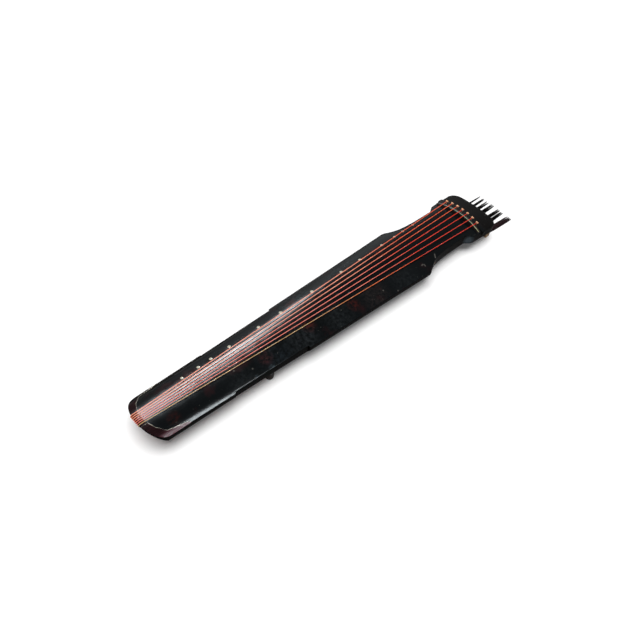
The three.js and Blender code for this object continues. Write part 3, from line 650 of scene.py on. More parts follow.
def guard_wood():
    """Peg guards, lacquered black, their feet worn down to bare tan wood with dark pores."""
    made, tree, shader, flat = start("worn_guard_wood")
    parts = add(tree, "SeparateXYZ", {"Vector": flat})
    foot = add(tree, "MapRange", {
        "Value": parts.outputs["Z"],
        "From Min": GUARD_WORN_TOP * MM, "From Max": GUARD_WORN_FULL * MM,
    })
    tail_side = add(tree, "MapRange", {
        "Value": parts.outputs["X"],
        "From Min": place(GUARD_WORN_START_ALONG, 0, 0).x,
        "From Max": place(GUARD_WORN_FULL_ALONG, 0, 0).x,
    })
    chips = blotches(tree, flat, 5, 3, ((0.36, 0.0), (0.5, 1.0)))
    corner = add(tree, "Math", {0: foot, 1: tail_side}, operation="MULTIPLY")
    grain = grained(tree, flat, (1, 1, 0.2), 2, 4, 0.5)
    bare = add(tree, "ValToRGB", {"Fac": grain}, (
        (0.3, "#84684f"), (0.55, "#bfa284"), (0.75, "#e0c6a6"),
    ))
    black = add(tree, "ValToRGB", {"Fac": grain}, ((0.3, "#040404"), (0.7, "#100d0b")))
    colour = stain(tree, black, bare, corner, chips)
    rough = add(tree, "ValToRGB", {"Fac": grain}, ((0.2, 0.45), (0.8, 0.7)))
    surface(tree, shader, colour, rough, grain, 0.1, 0.02)
    return made


# Silk colours: the dip between plies in painted shade, the ply, and its crest in painted highlight
RED = ("#b03a2a", "#ff7055", "#ffa088")
CORAL = ("#b8502e", "#ff8a62", "#ffb498")
GOLD = ("#906028", "#f0b45c", "#ffdc98")
SALMON = ("#7c3c22", "#d88a5c", "#ffd0a0")
BLACK = ("#000000", "#020202", "#060505")
WINE = ("#050102", "#120407", "#260a10")

# Their tones from the tail to the head, painted light and shade: paler towards the tail, where more
# light falls on them, and deeper and redder towards the head, where less does
RED_SHADE_TONES = ((0.0, "#ffffff"), (0.62, "#ffffff"), (0.8, "#ff8c6c"))
CORAL_SHADE_TONES = ((0.0, "#ffffff"), (0.62, "#ffffff"), (0.8, "#ffae88"))
GOLD_SHADE_TONES = ((0.0, "#d8d0c8"), (0.42, "#c8b890"), (0.66, "#ff8a40"), (0.82, "#ff4420"))


def make_finishes():
    return {
        "lacquer": raw_lacquer(),
        "shaded_side_lacquer": shaded_side_lacquer(),
        "hardwood": dark_hardwood(),
        "crown_wood": crown_wood(),
        "bare_wood": paulownia(),
        "pale_stone": pale_jade(),
        "pearl": pearl(),
        "red_silk": silk("red_string_silk", RED, 1.6, 0.05, 0.12, RED_SHADE_TONES),
        "coral_silk": silk("coral_string_silk", CORAL, 1.6, 0.05, 0.12, CORAL_SHADE_TONES),
        "gold_silk": silk("gold_string_silk", GOLD, 1.6, shade_tones=GOLD_SHADE_TONES),
        "salmon_silk": silk("salmon_loop_silk", SALMON, 2.4, 0.2),
        "black_silk": silk("black_tassel_silk", BLACK, 2.4, 0.0, 0.01),
        "wine_silk": silk("wine_tassel_silk", WINE, 2.4, 0.02, 0.04),
        "wire": brass_wire(),
        "guard_wood": guard_wood(),
    }


# Tools for making pieces

# Points closer than this are one, in metres
MERGE_DISTANCE = 2e-6
COPY_MERGE_DISTANCE = 1e-5
# Faces of a copy that turn less than this against each other are one, in degrees
FLAT_ANGLE = 1
# A face is a dull wall, given the darker copy of the lacquer that stands in for shade,
# where its normal points up less than this, on the near and far side
WALL_SLOPE = 0.55
FAR_EDGE_SLOPE = 0.85
# A rounded corner may take this share of each of its sides, and is drawn in so many steps
CORNER_SHARE = 0.45
CORNER_STEPS = 4
# Bars across the body: sections between their rounded ends and in each of these, the ends'
# rounding for each millimetre of the edges', and the share of it that the last one draws in
BAR_SECTIONS = 80
BAR_END_SECTIONS = 5
BAR_END_ROUND = 1.5
BAR_END_SHARE = 0.9


def link(name, made):
    """A new object at the origin from a finished bmesh."""
    data = bpy.data.meshes.new(name)
    made.to_mesh(data)
    made.free()
    piece = bpy.data.objects.new(name, data)
    bpy.context.collection.objects.link(piece)
    return piece


def pick(*pieces):
    bpy.ops.object.select_all(action="DESELECT")
    for piece in pieces:
        piece.select_set(True)
    bpy.context.view_layer.objects.active = pieces[0]


def loft(name, rings):
    """A closed skin over rings of as many points each, with a face on each end."""
    made = bmesh.new()
    loops = [[made.verts.new(point) for point in ring] for ring in rings]
    for before, after in zip(loops, loops[1:]):
        for i in range(len(before)):
            j = (i + 1) % len(before)
            made.faces.new((before[i], before[j], after[j], after[i]))
    made.faces.new(loops[0])
    made.faces.new(loops[-1][::-1])
    bmesh.ops.remove_doubles(made, verts=made.verts, dist=MERGE_DISTANCE)
    bmesh.ops.recalc_face_normals(made, faces=made.faces)
    return link(name, made)


def sweep(name, points, radius, sides, flat=1.0, closed=False):
    """A round tube along points. radius is a length or one for each point, in metres.
    Its UV map holds the length along the tube in metres and the share of the way round."""
    count = len(points)
    radii = [radius] * count if isinstance(radius, float) else radius
    made = bmesh.new()
    layer = made.loops.layers.uv.new("UVMap")
    tangents = []
    for i in range(count):
        before = points[i - 1] if closed or i else points[0]
        after = points[(i + 1) % count] if closed or i < count - 1 else points[-1]
        tangents.append((after - before).normalized())
    side = tangents[0].orthogonal().normalized()
    loops = []
    for point, tangent, r in zip(points, tangents, radii):
        side = (side - tangent * side.dot(tangent)).normalized()
        other = tangent.cross(side)
        loop = []
        for k in range(sides):
            turn = 2 * math.pi * k / sides
            out = (side * math.cos(turn) + other * math.sin(turn)) * r
            out.z *= flat
            loop.append(made.verts.new(point + out))
        loops.append(loop)
    if closed:
        loops.append(loops[0])
        points = [*points, points[0]]
    length = 0
    for i in range(len(loops) - 1):
        step = (points[i + 1] - points[i]).length
        for k in range(sides):
            j = (k + 1) % sides
            face = made.faces.new((loops[i][k], loops[i + 1][k], loops[i + 1][j], loops[i][j]))
            places = (
                (length, k), (length + step, k), (length + step, k + 1), (length, k + 1),
            )
            for corner, (u, v) in zip(face.loops, places):
                corner[layer].uv = (u, v / sides)
        length += step
    if not closed:
        made.faces.new(loops[0])
        made.faces.new(loops[-1][::-1])
    bmesh.ops.recalc_face_normals(made, faces=made.faces)
    for face in made.faces:
        face.smooth = True
    return link(name, made)


def span(low, high, count):
    """Evenly spread values from low to high."""
    return [mix(low, high, i / (count - 1)) for i in range(count)]


def corner_curve(before, corner, after, steps):
    """Points of a curve from before to after that bends towards the corner."""
    before, corner, after = (Vector(point) for point in (before, corner, after))
    curve = []
    for share in span(0, 1, steps + 1):
        inner = before.lerp(corner, share)
        curve.append(inner.lerp(corner.lerp(after, share), share))
    return curve


def rounded_corner(before, corner, after, reach):
    """The corner between two points as a curve that starts up to reach from it."""
    ends = []
    for other in (before, after):
        way = other - corner
        ends.append(corner + way.normalized() * min(reach, way.length * CORNER_SHARE))
    return corner_curve(ends[0], corner, ends[1], CORNER_STEPS)


def eased(points, reach):
    """The path with each of its corners rounded."""
    path = [points[0]]
    for before, corner, after in zip(points, points[1:], points[2:]):
        path += rounded_corner(before, corner, after, reach)
    return [*path, points[-1]]


def eased_outline(corners, reach):
    """A closed outline of flat points with each of its corners rounded."""
    ring = []
    for i, corner in enumerate(corners):
        ring += rounded_corner(corners[i - 1], corner, corners[(i + 1) % len(corners)], reach)
    return ring


def shrunk(ring, depth):
    """A closed outline of flat points, drawn in by depth along its own normals."""
    turn = sum(a.cross(b) for a, b in zip(ring, ring[1:] + ring[:1]))
    side = 1 if turn > 0 else -1
    inner = []
    for i, point in enumerate(ring):
        along = ring[(i + 1) % len(ring)] - ring[i - 1]
        if along.length:
            along.normalize()
        inner.append(point + Vector((-along.y, along.x)) * side * depth)
    return inner


def end_round(past, radius):
    """How far a rounded end has drawn in, past being the distance into the rounding."""
    return radius - math.sqrt(max(radius ** 2 - max(past, 0) ** 2, 0))


def across_loft(name, half_length, outline, reach):
    """A bar across the body with edges rounded by reach: outline gives its section's
    corners (along, up) at each place."""
    rounding = reach * BAR_END_ROUND
    straight = half_length - rounding
    places = span(-straight, straight, BAR_SECTIONS)
    ends = [
        rounding * math.sin(math.pi / 2 * i / BAR_END_SECTIONS)
        for i in range(1, BAR_END_SECTIONS + 1)
    ]
    places = [places[0] - e for e in ends[::-1]] + places + [places[-1] + e for e in ends]
    rings = []
    for y in places:
        ring = eased_outline([Vector(c) for c in outline(y)], reach)
        drawn_in = min(end_round(abs(y) - straight, rounding), rounding * BAR_END_SHARE)
        rings.append([place(point.x, y, point.y) for point in shrunk(ring, drawn_in)])
    return loft(name, rings)


def change(piece, kind, **settings):
    """Adds a modifier and applies it."""
    modifier = piece.modifiers.new(kind.lower(), kind)
    for key, value in settings.items():
        setattr(modifier, key, value)
    pick(piece)
    bpy.ops.object.modifier_apply(modifier=modifier.name)


def soften(piece, width_mm, angle=40, segments=3):
    """Rounds the sharp edges of a piece."""
    change(
        piece, "BEVEL", width=width_mm * MM, segments=segments,
        limit_method="ANGLE", angle_limit=math.radians(angle),
    )


def cut(piece, cutter):
    """Takes cutter out of piece. The cut faces keep the cutter's material."""
    change(
        piece, "BOOLEAN", operation="DIFFERENCE", solver="EXACT",
        object=cutter, material_mode="TRANSFER",
    )
    bpy.data.objects.remove(cutter)


def smooth(piece, angle=35):
    pick(piece)
    bpy.ops.object.shade_smooth_by_angle(angle=math.radians(angle))


def settle(piece):
    """Puts the piece's place into its mesh."""
    pick(piece)
    bpy.ops.object.transform_apply(location=True, rotation=True, scale=True)


def give(piece, finish):
    piece.data.materials.clear()
    piece.data.materials.append(finishes[finish])


def shaded_walls(piece, finish="lacquer"):
    """Gives the upright faces of a lacquered piece the dull side lacquer, a darker copy
    that stands in for shade, which on the far side starts where the edge begins to turn down."""
    slots = piece.data.materials
    glossy = slots.find(finishes[finish].name)
    slots.append(finishes["shaded_side_lacquer"])
    for face in piece.data.polygons:
        limit = FAR_EDGE_SLOPE if face.normal.y > 0 else WALL_SLOPE
        if face.material_index == glossy and face.normal.z < limit:
            face.material_index = len(slots) - 1


def dress(piece, finish, body, *nodes, slot=None):
    """Material, slot, which is not used, body and the CAD nodes that the piece stands for."""
    if finish:
        give(piece, finish)
    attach(piece, body)
    if nodes:
        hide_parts(*nodes)
    return piece


def joined(name, pieces):
    pick(*pieces)
    bpy.ops.object.join()
    pieces[0].name = name
    pieces[0].data.name = name
    return pieces[0]


def copy_of(node, name):
    """The node's own shape as a new piece, merged, with its flat faces whole."""
    made = bmesh.new()
    made.from_mesh(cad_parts[node].data)
    bmesh.ops.remove_doubles(made, verts=made.verts, dist=COPY_MERGE_DISTANCE)
    bmesh.ops.dissolve_limit(
        made, angle_limit=math.radians(FLAT_ANGLE), verts=made.verts, edges=made.edges,
    )
    for face in made.faces:
        face.material_index = 0
    return link(name, made)


def turned(name, centre, profile, sides=48):
    """A turned piece: a circle extruded down step by step, profile holding (radius, up)."""
    radius, up = profile[0]
    bpy.ops.object.select_all(action="DESELECT")
    bpy.ops.mesh.primitive_circle_add(
        vertices=sides, radius=radius * MM, fill_type="NGON", location=place(*centre, up),
    )
    piece = bpy.context.object
    piece.name = piece.data.name = name
    bpy.ops.object.mode_set(mode="EDIT")
    for next_radius, next_up in profile[1:]:
        bpy.ops.mesh.extrude_region_move(
            TRANSFORM_OT_translate={"value": (0, 0, (next_up - up) * MM)},
        )
        if next_radius != radius:
            ratio = next_radius / radius
            bpy.ops.transform.resize(value=(ratio, ratio, 1))
        radius, up = next_radius, next_up
    bpy.ops.mesh.select_all(action="SELECT")
    bpy.ops.mesh.normals_make_consistent(inside=False)
    bpy.ops.object.mode_set(mode="OBJECT")
    settle(piece)
    return piece


def block(name, low, high):
    """A box between two corners in millimetres, as a start for a piece."""
    corners = place(*low), place(*high)
    bpy.ops.object.select_all(action="DESELECT")
    bpy.ops.mesh.primitive_cube_add(
        size=1, location=(corners[0] + corners[1]) / 2, scale=corners[1] - corners[0],
    )
    piece = bpy.context.object
    piece.name = piece.data.name = name
    settle(piece)
    return piece


# Tassels

# Route of a tassel's cord: step forward from its peg, and height over the floor
TASSEL_ROUTE = (
    (0, 13.4), (0, 10.4), (0, 7.6), (0.5, 5.2), (2, 3.3), (4.6, 2.1), (8, 1.7), (13, 1.6),
    (19, 1.6), (26, 1.6), (33, 1.6), (40, 1.6), (47, 1.6), (54, 1.6), (62, 1.6), (70, 1.6),
)
# It runs on inside its skirt, to where its own plies are let loose
TASSEL_CORE = ((82, 1.8), (94, 1.9), (106, 1.9), (118, 1.9), (130, 1.9), (140, 1.9))
TASSEL_CORD_RADIUS = 1.25
TASSEL_REACH = 190
# How far towards the far side each tassel has swung at that reach
TASSEL_SWINGS = (-6, -2, 0.5, 0, -8, -2, -13)

# Thread wound round the top of a skirt
BINDING_START = 59
BINDING_LENGTH = 12
BINDING_TURNS = 9
BINDING_TURN_POINTS = 12
BINDING_HALF_WIDTH = 1.75
BINDING_HALF_HEIGHT = 1.35
BINDING_MIDDLE = 2.0
BINDING_THREAD_RADIUS = 0.6

# Skirts, from the far tassel to the near one: length, and half width at the widest
SKIRT_SEED = 700
SKIRT_START = 62
SKIRT_LENGTHS = (138, 136, 134, 137, 134, 130, 130)
SKIRT_SPREAD = (2.7, 4.4, 5.8, 7.2, 6.4, 5.8, 9.6)
# Where the locks of each skirt end, as shares of its spread
SKIRT_LOCKS = (
    (0.0,), (-0.4, 0.35), (-0.75, 0.45), (-0.7, 0.0, 0.6), (-0.5, 0.5), (-0.6, 0.1, 0.6),
    (-0.85, -0.3, 0.25, 0.8),
)
# The skirts lie a little to the far side of their cords
SKIRT_DRIFT = 3
# A skirt is a heap with a round top. Its height starts from its spread, up to a limit, and
# falls to that of its tips
HEAP_ROUNDNESS = 0.85
HEAP_SPREAD_LIMIT = 6
HEAP_HEIGHT_SHARE = 0.75
HEAP_TIP_HEIGHT = 2.5
HEAP_FALL = 1.1

THREAD_COUNT = 200
THREAD_RADIUS = 0.65
THREAD_LIFT = 0.15
# Share of the way along a thread, and of its full spread there
THREAD_STEPS = ((0, 0.45), (0.12, 0.75), (0.3, 0.95), (0.5, 1.0), (0.7, 1.0), (0.86, 1.0), (1, 1.0))
# Shares of its length that a thread is short of, by chance and by being off its lock
THREAD_RAGGEDNESS = 0.3
THREAD_SLANT = 0.1
# How closely threads keep to their lock, least and most, and how late they turn to it
LOCK_HOLD = (0.3, 0.85)
LOCK_POWER = 2.5
# A thread's wave from side to side, and how far its phase runs along it, in radians
THREAD_WAVE = 0.5
THREAD_WAVE_TURN = 8
# Share that a thread loses of its thickness, and how late it does
THREAD_TAPER = 0.5
THREAD_TAPER_POWER = 6


def tassel_point(number, step, side, height):
    """A place on a tassel: step forward from its peg, side across, height over the floor."""
    lean = TASSEL_SWINGS[number] / TASSEL_REACH
    y = string_at_bridge(number) + lean * step + side
    return place(HOLE_ALONG + step, y, FLOOR_HEIGHT + height)


def skirt(number):
    """Loose silk threads from the binding to ragged tips, lying on the floor."""
    draw = random.Random(SKIRT_SEED + number)
    spread = SKIRT_SPREAD[number]
    start_height = min(spread, HEAP_SPREAD_LIMIT) * HEAP_HEIGHT_SHARE
    radii = [
        THREAD_RADIUS * MM * (1 - THREAD_TAPER * share ** THREAD_TAPER_POWER)
        for share, _ in THREAD_STEPS
    ]
    threads = []
    for _ in range(THREAD_COUNT):
        across = draw.uniform(-1, 1)
        above = draw.random() * math.sqrt(1 - HEAP_ROUNDNESS * across ** 2)
        lock = min(SKIRT_LOCKS[number], key=lambda end: abs(end - across))
        ragged = THREAD_RAGGEDNESS * draw.random() ** 2
        length = SKIRT_LENGTHS[number] * (1 - ragged - THREAD_SLANT * abs(across - lock))
        hold = draw.uniform(*LOCK_HOLD)
        wave = draw.uniform(-THREAD_WAVE, THREAD_WAVE)
        turn = draw.uniform(0, 2 * math.pi)
        points = []
        for share, wide in THREAD_STEPS:
            out = mix(across, lock, hold * share ** LOCK_POWER) * spread * wide
            sway = wave * math.sin(share * THREAD_WAVE_TURN + turn) * share
            heap = mix(HEAP_TIP_HEIGHT, start_height, max(1 - share * HEAP_FALL, 0))
            height = THREAD_RADIUS + THREAD_LIFT + above * heap * wide
            points.append(tassel_point(
                number, SKIRT_START + length * share, out + sway + SKIRT_DRIFT * share, height,
            ))
        threads.append(sweep("thread", points, radii, 4))
    return joined(f"tassel_skirt_{number + 1}", threads)


def tassel(number):
    """A cord that hangs from its peg's bore and lies on the floor, its binding and skirt."""
    route = TASSEL_ROUTE + TASSEL_CORE
    path = [tassel_point(number, step, 0, height) for step, height in route]
    finish = "wine_silk" if number == STRING_COUNT - 1 else "black_silk"
    cord = sweep(f"tassel_cord_{number + 1}", path, TASSEL_CORD_RADIUS * MM, 12)
    dress(cord, finish, "body", f"tassel_{number + 1}", slot="black_silk")
    winding = []
    for share in span(0, 1, BINDING_TURNS * BINDING_TURN_POINTS + 1):
        turn = 2 * math.pi * BINDING_TURNS * share
        step = BINDING_START + BINDING_LENGTH * share
        side, up = BINDING_HALF_WIDTH * math.cos(turn), BINDING_HALF_HEIGHT * math.sin(turn)
        winding.append(tassel_point(number, step, side, BINDING_MIDDLE + up))
    binding = sweep(f"tassel_binding_{number + 1}", winding, BINDING_THREAD_RADIUS * MM, 6)
    dress(binding, finish, "body", slot="black_silk")
    threads = skirt(number)
    dress(threads, finish, "body", slot="black_silk")


# Body

# Rounding of the top's edge, the base's edge and both ends, with the largest shares of the
# wall and the half width that the edges take, and the share of the tail's that shows
TOP_ROUND = 1.6
TOP_ROUND_SHARE = 0.4
BASE_ROUND = 1.0
BASE_ROUND_SHARE = 0.3
END_ROUND = 1.4
TAIL_END_SHARE = 0.4

# Sections close to the tail end, at the round tail, and on the head's corners
FIRST_SECTIONS = (0.02, 0.1)
TAIL_SECTIONS = 26
TAIL_CROWDING = 2.2
HEAD_SECTIONS = 28
# Sections about a waist step, and how far from it the other ones keep
STEP_SECTIONS = (-2.4, -1.2, -0.9, -0.6, -0.3, 0, 0.3, 0.6, 0.9, 1.2, 2.4)
STEP_CLEARANCE = 3


def body_ring(x):
    """Section of the body, from the middle of the base round to it again."""
    half = soft_half(x)
    tail_drop = end_round(END_ROUND - x, END_ROUND) * TAIL_END_SHARE
    drop = end_round(x - (BODY_LENGTH - END_ROUND), END_ROUND) + tail_drop
    low = base(x) + tail_drop

    def top(y):
        return arch(x, y) - drop

    wall = top(half) - low
    top_round = min(TOP_ROUND, wall * TOP_ROUND_SHARE, half * TOP_ROUND_SHARE)
    base_round = min(BASE_ROUND, wall * BASE_ROUND_SHARE, half * BASE_ROUND_SHARE)
    base_half = side_half(x, low)
    ring = [(share * (base_half - base_round), low) for share in (0, 0.25, 0.5, 0.75)]
    wall_foot = low + base_round
    ring += corner_curve(
        (base_half - base_round, low), (base_half, low), (side_half(x, wall_foot), wall_foot), 4,
    )
    wall_low = min(max(-RIM_DEPTH, wall_foot), top(half) - top_round)
    ring += [(side_half(x, z), z) for z in span(wall_foot, wall_low, 7)[1:]]
    ring += corner_curve(
        (half, top(half) - top_round), (half, top(half)),
        (half - top_round, top(half - top_round)), 5,
    )
    for i in range(1, 25):
        y = (half - top_round) * math.cos(math.pi / 2 * i / 24)
        ring.append((y, top(y)))
    mirrored = [(-y, z) for y, z in ring[-2:0:-1]]
    return [place(x, y, z) for y, z in ring + mirrored]


def body_stations():
    """Places along the body, close together where its outline turns."""
    stations = list(FIRST_SECTIONS)
    for i in range(1, TAIL_SECTIONS):
        stations.append(TAIL_ROUND_LENGTH * (i / TAIL_SECTIONS) ** TAIL_CROWDING)
    corner = BODY_LENGTH - HEAD_CORNER_LENGTH
    stations += span(TAIL_ROUND_LENGTH, NECK_ALONG, 120)
    stations += span(NECK_ALONG, NECK_END_ALONG, 8)[1:]
    stations += span(NECK_END_ALONG, LOBE_ALONG, 16)[1:]
    stations += span(LOBE_ALONG, corner, 10)[1:]
    for i in range(1, HEAD_SECTIONS + 1):
        turn = math.pi / 2 * i / HEAD_SECTIONS
        stations.append(corner + HEAD_CORNER_LENGTH * math.sin(turn))
    for step in (WAIST_TAIL_ALONG, WAIST_HEAD_ALONG):
        stations = [x for x in stations if abs(x - step) > STEP_CLEARANCE]
        stations += [step + d for d in STEP_SECTIONS]
    return sorted(stations)


# Sound box
CAVITY_START = 90
CAVITY_END = 1040
CAVITY_NECK = 935
CAVITY_NECK_STEP = 0.5
CAVITY_NECK_HALF = 50
CAVITY_WALL = 20
CAVITY_SIDE = -4
CAVITY_ROOF = 13
CAVITY_FLAT_SHARE = 0.6


def cavity():
    """The sound box, hollowed from under the top board."""
    rings = []
    for x in [*span(CAVITY_START, CAVITY_NECK, 40), CAVITY_NECK + CAVITY_NECK_STEP, CAVITY_END]:
        half = chain(FULL_HALF, x) - CAVITY_WALL if x <= CAVITY_NECK else CAVITY_NECK_HALF
        roof = arch(x, 0) - CAVITY_ROOF
        flat = half * CAVITY_FLAT_SHARE
        section = (
            (-half, -RIM_DEPTH), (half, -RIM_DEPTH), (half, CAVITY_SIDE),
            (flat, roof), (-flat, roof), (-half, CAVITY_SIDE),
        )
        rings.append([place(x, y, z) for y, z in section])
    return loft("cavity", rings)


# Openings of the underside: name, start, end, half width, top, corner radius and inner finish
OPENINGS = (
    ("dragon_pool", 605, 815, 14, 1 - RIM_DEPTH, 9, "bare_wood"),
    ("phoenix_pond", 160, 270, 13, 1 - RIM_DEPTH, 9, "bare_wood"),
    ("peg_pool", 1132, 1152, 73, STRIP_BOTTOM + 0.5, 2, "lacquer"),
)
# How far under the base their cutters start
CUTTER_START = 2


def hole_cutter(name, start, end, half, top, corner):
    """An upright slot cutter with round corners."""
    bottom = BASE_HEIGHT - CUTTER_START
    cutter = block(name, (start, -half, bottom), (end, half, top))
    bpy.ops.object.mode_set(mode="EDIT")
    bpy.ops.mesh.select_all(action="DESELECT")
    bpy.ops.object.mode_set(mode="OBJECT")
    for edge in cutter.data.edges:
        a, b = (cutter.data.vertices[i].co for i in edge.vertices)
        edge.select = abs(a.z - b.z) > (top - bottom) * MM / 2
    bpy.ops.object.mode_set(mode="EDIT")
    bpy.ops.mesh.bevel(offset=corner * MM, segments=8, affect="EDGES")
    bpy.ops.object.mode_set(mode="OBJECT")
    return cutter


def make_body():
    body = loft("lacquered_body", [body_ring(x) for x in body_stations()])
    give(body, "lacquer")
    body.data.materials.append(finishes["bare_wood"])
    hollow = cavity()
    give(hollow, "bare_wood")
    cut(body, hollow)
    for name, start, end, half, top, corner, finish in OPENINGS:
        slot = hole_cutter(name, start, end, half, top, corner)
        give(slot, finish)
        cut(body, slot)
    smooth(body, 30)
    shaded_walls(body)
    dress(body, None, "body", "top_board", "bottom_board", slot="lacquer")


# Crown corners of the tail: inner edge as shares of the crown's length and the tail's half width
CROWN_EDGE_SHARES = (
    (0.0, 0.29), (0.19, 0.29), (0.216, 0.41), (0.258, 0.56), (0.32, 0.655), (0.381, 0.75),
    (0.443, 0.832), (0.567, 0.865), (0.711, 0.895), (0.938, 0.947), (1.0, 0.98),
)
CROWN_EDGE_SOFTENING = (-1.2, 0, 1.2)
# Outer wall: how far it stands out, how thick it is, and the rounding of its foot
CROWN_WALL_PROUD = 0.5
CROWN_WALL = 1.0
CROWN_FOOT_ROUND = 0.3
# Rounding of the upper edge, and its largest shares of the wall's height and the top's width
CROWN_ROUND = 1.8
CROWN_ROUND_SHARES = (0.4, 0.5)
# Inner edge: depths at which it ends in the board, its lean, the share of its height at which
# it starts to round, and the rounding
CROWN_EDGE_DEPTHS = (0.8, 0.6)
CROWN_EDGE_LEAN = 0.6
CROWN_EDGE_UPRIGHT = 0.6
CROWN_EDGE_ROUND = 0.3
# How deep under the top the outer wall's inside reaches
CROWN_INSIDE_DEPTH = 1.5
# Least width at which a crown starts, where it is looked for in tenths, and its sections
CROWN_START_WIDTH = 0.6
CROWN_START_TENTHS = range(10, 60)
CROWN_SECTIONS = 30
CROWN_CROWDING = 1.8

# Wire along the inner edge, half sunk: radius, flattening, and distances from the edge, under
# the top and from the crown's ends
WIRE_RADIUS = 0.3
WIRE_FLAT = 0.6
WIRE_INSET = 0.2
WIRE_DEPTH = 0.1
WIRE_ENDS = (1, 0.5)


def crown_edge(x):
    """How far out the crown's inner edge lies, with its corners worn round."""
    stops = [(CROWN_LENGTH * a, TAIL_HALF_WIDTH * b) for a, b in CROWN_EDGE_SHARES]
    near = [chain(stops, x + d) for d in CROWN_EDGE_SOFTENING]
    return sum(near) / len(near)


def crown_section(x):
    """Section of a crown, from its inner edge over its top and down its outer wall."""
    outer = plan_half(x) + CROWN_WALL_PROUD
    inner = min(crown_edge(x), outer - CROWN_WALL)
    low = max(-RIM_DEPTH, base(x) + CROWN_FOOT_ROUND)
    top_out = arch(x, plan_half(x)) + CROWN_PROUD
    wall_share, width_share = CROWN_ROUND_SHARES
    rounding = min(CROWN_ROUND, (top_out - low) * wall_share, (outer - inner) * width_share)
    top_start, top_end = inner + CROWN_EDGE_ROUND, outer - rounding
    section = [
        (inner + CROWN_EDGE_LEAN, arch(x, inner) - CROWN_EDGE_DEPTHS[0]),
        (inner, arch(x, inner) - CROWN_EDGE_DEPTHS[1]),
        (inner, arch(x, inner) + CROWN_PROUD * CROWN_EDGE_UPRIGHT),
        (top_start, arch(x, top_start) + CROWN_PROUD),
    ]
    for share in span(0.04, 1, 14):
        y = mix(top_start, top_end, share)
        section.append((y, arch(x, y) + CROWN_PROUD))
    section += corner_curve(
        (top_end, arch(x, top_end) + CROWN_PROUD), (outer, top_out), (outer, top_out - rounding), 5,
    )[1:]
    inside_top = min(arch(x, plan_half(x)) - CROWN_INSIDE_DEPTH, top_out - rounding)
    return section + [
        (outer, mix(top_out - rounding, low, 0.5)),
        (outer, low + CROWN_FOOT_ROUND),
        (outer - CROWN_FOOT_ROUND, low),
        (outer - CROWN_WALL, low),
        (outer - CROWN_WALL, inside_top),
    ]


def crown(side, name):
    """Cap over a tail corner: a thin proud skin with a round edge, down its outer wall."""
    tenths = (x / 10 for x in CROWN_START_TENTHS)
    start = next(x for x in tenths if plan_half(x) > crown_edge(x) + CROWN_START_WIDTH)
    stations = []
    for i in range(CROWN_SECTIONS):
        share = (i / CROWN_SECTIONS) ** CROWN_CROWDING
        stations.append(start + (TAIL_ROUND_LENGTH - start) * share)
    stations += span(TAIL_ROUND_LENGTH, CROWN_LENGTH, 26)
    cap = loft(f"crown_cap_{name}", [
        [place(x, side * y, z) for y, z in crown_section(x)] for x in stations
    ])
    smooth(cap, 40)
    give(cap, "crown_wood")
    shaded_walls(cap, "crown_wood")
    dress(cap, None, "body", f"crown_{name}", slot="crown_wood")
    line = []
    for x in span(start + WIRE_ENDS[0], CROWN_LENGTH - WIRE_ENDS[1], 70):
        y = crown_edge(x) + WIRE_INSET
        line.append(place(x, side * y, arch(x, y) + CROWN_PROUD - WIRE_DEPTH))
    inlay = sweep(f"crown_wire_{name}", line, WIRE_RADIUS * MM, 8, flat=WIRE_FLAT)
    dress(inlay, "wire", "body", slot="crown_wood")


# Bridge, saddle, strip and nuts

# Bridge section, by its distances from the crest's middle: foot to the tail side and to the
# head side, shoulder, half crest, then how deep the foot is let in, how high its edge stands
# and how far the shoulder lies under the crest
BRIDGE_TAIL_FOOT = 4.5
BRIDGE_HEAD_FOOT = 11
BRIDGE_SHOULDER = 8
BRIDGE_CREST_HALF = 2.4
BRIDGE_LET_IN = 0.6
BRIDGE_FOOT_EDGE = 0.5
BRIDGE_SHOULDER_DROP = 1.2
BRIDGE_ROUND = 0.8
SADDLE_ROUND = 0.45
STRIP_ROUND = 0.9
# Holes in the strip, and the height over the rim of the middle of the drill
STRING_HOLE_RADIUS = 1.8
DRILL_LENGTH = 60
DRILL_MIDDLE = 10


def make_bridge():
    """The bridge and the jade strip let into its crest."""
    def section(y):
        top = saddle_top(y) - SADDLE_PROUD
        tail_foot, head_foot = BRIDGE_ALONG - BRIDGE_TAIL_FOOT, BRIDGE_ALONG + BRIDGE_HEAD_FOOT
        return (
            (tail_foot, arch(tail_foot, y) - BRIDGE_LET_IN),
            (head_foot, arch(head_foot, y) - BRIDGE_LET_IN),
            (head_foot, arch(head_foot, y) + BRIDGE_FOOT_EDGE),
            (BRIDGE_ALONG + BRIDGE_SHOULDER, top - BRIDGE_SHOULDER_DROP),
            (BRIDGE_ALONG + BRIDGE_CREST_HALF, top),
            (BRIDGE_ALONG - BRIDGE_CREST_HALF, top),
        )

    bridge = across_loft("bridge_block", BRIDGE_HALF_LENGTH, section, BRIDGE_ROUND)
    smooth(bridge)
    dress(bridge, "hardwood", "body", "bridge")

    def saddle_section(y):
        top = saddle_top(y)
        low = top - SADDLE_HEIGHT - GAP
        start, end = BRIDGE_ALONG - SADDLE_SHOWN / 2, BRIDGE_ALONG + SADDLE_SHOWN / 2
        return (start, low), (end, low), (end, top), (start, top)

    saddle = across_loft("jade_saddle", SADDLE_HALF_LENGTH, saddle_section, SADDLE_ROUND)
    smooth(saddle)
    dress(saddle, "pale_stone", "body", "bridge_saddle")


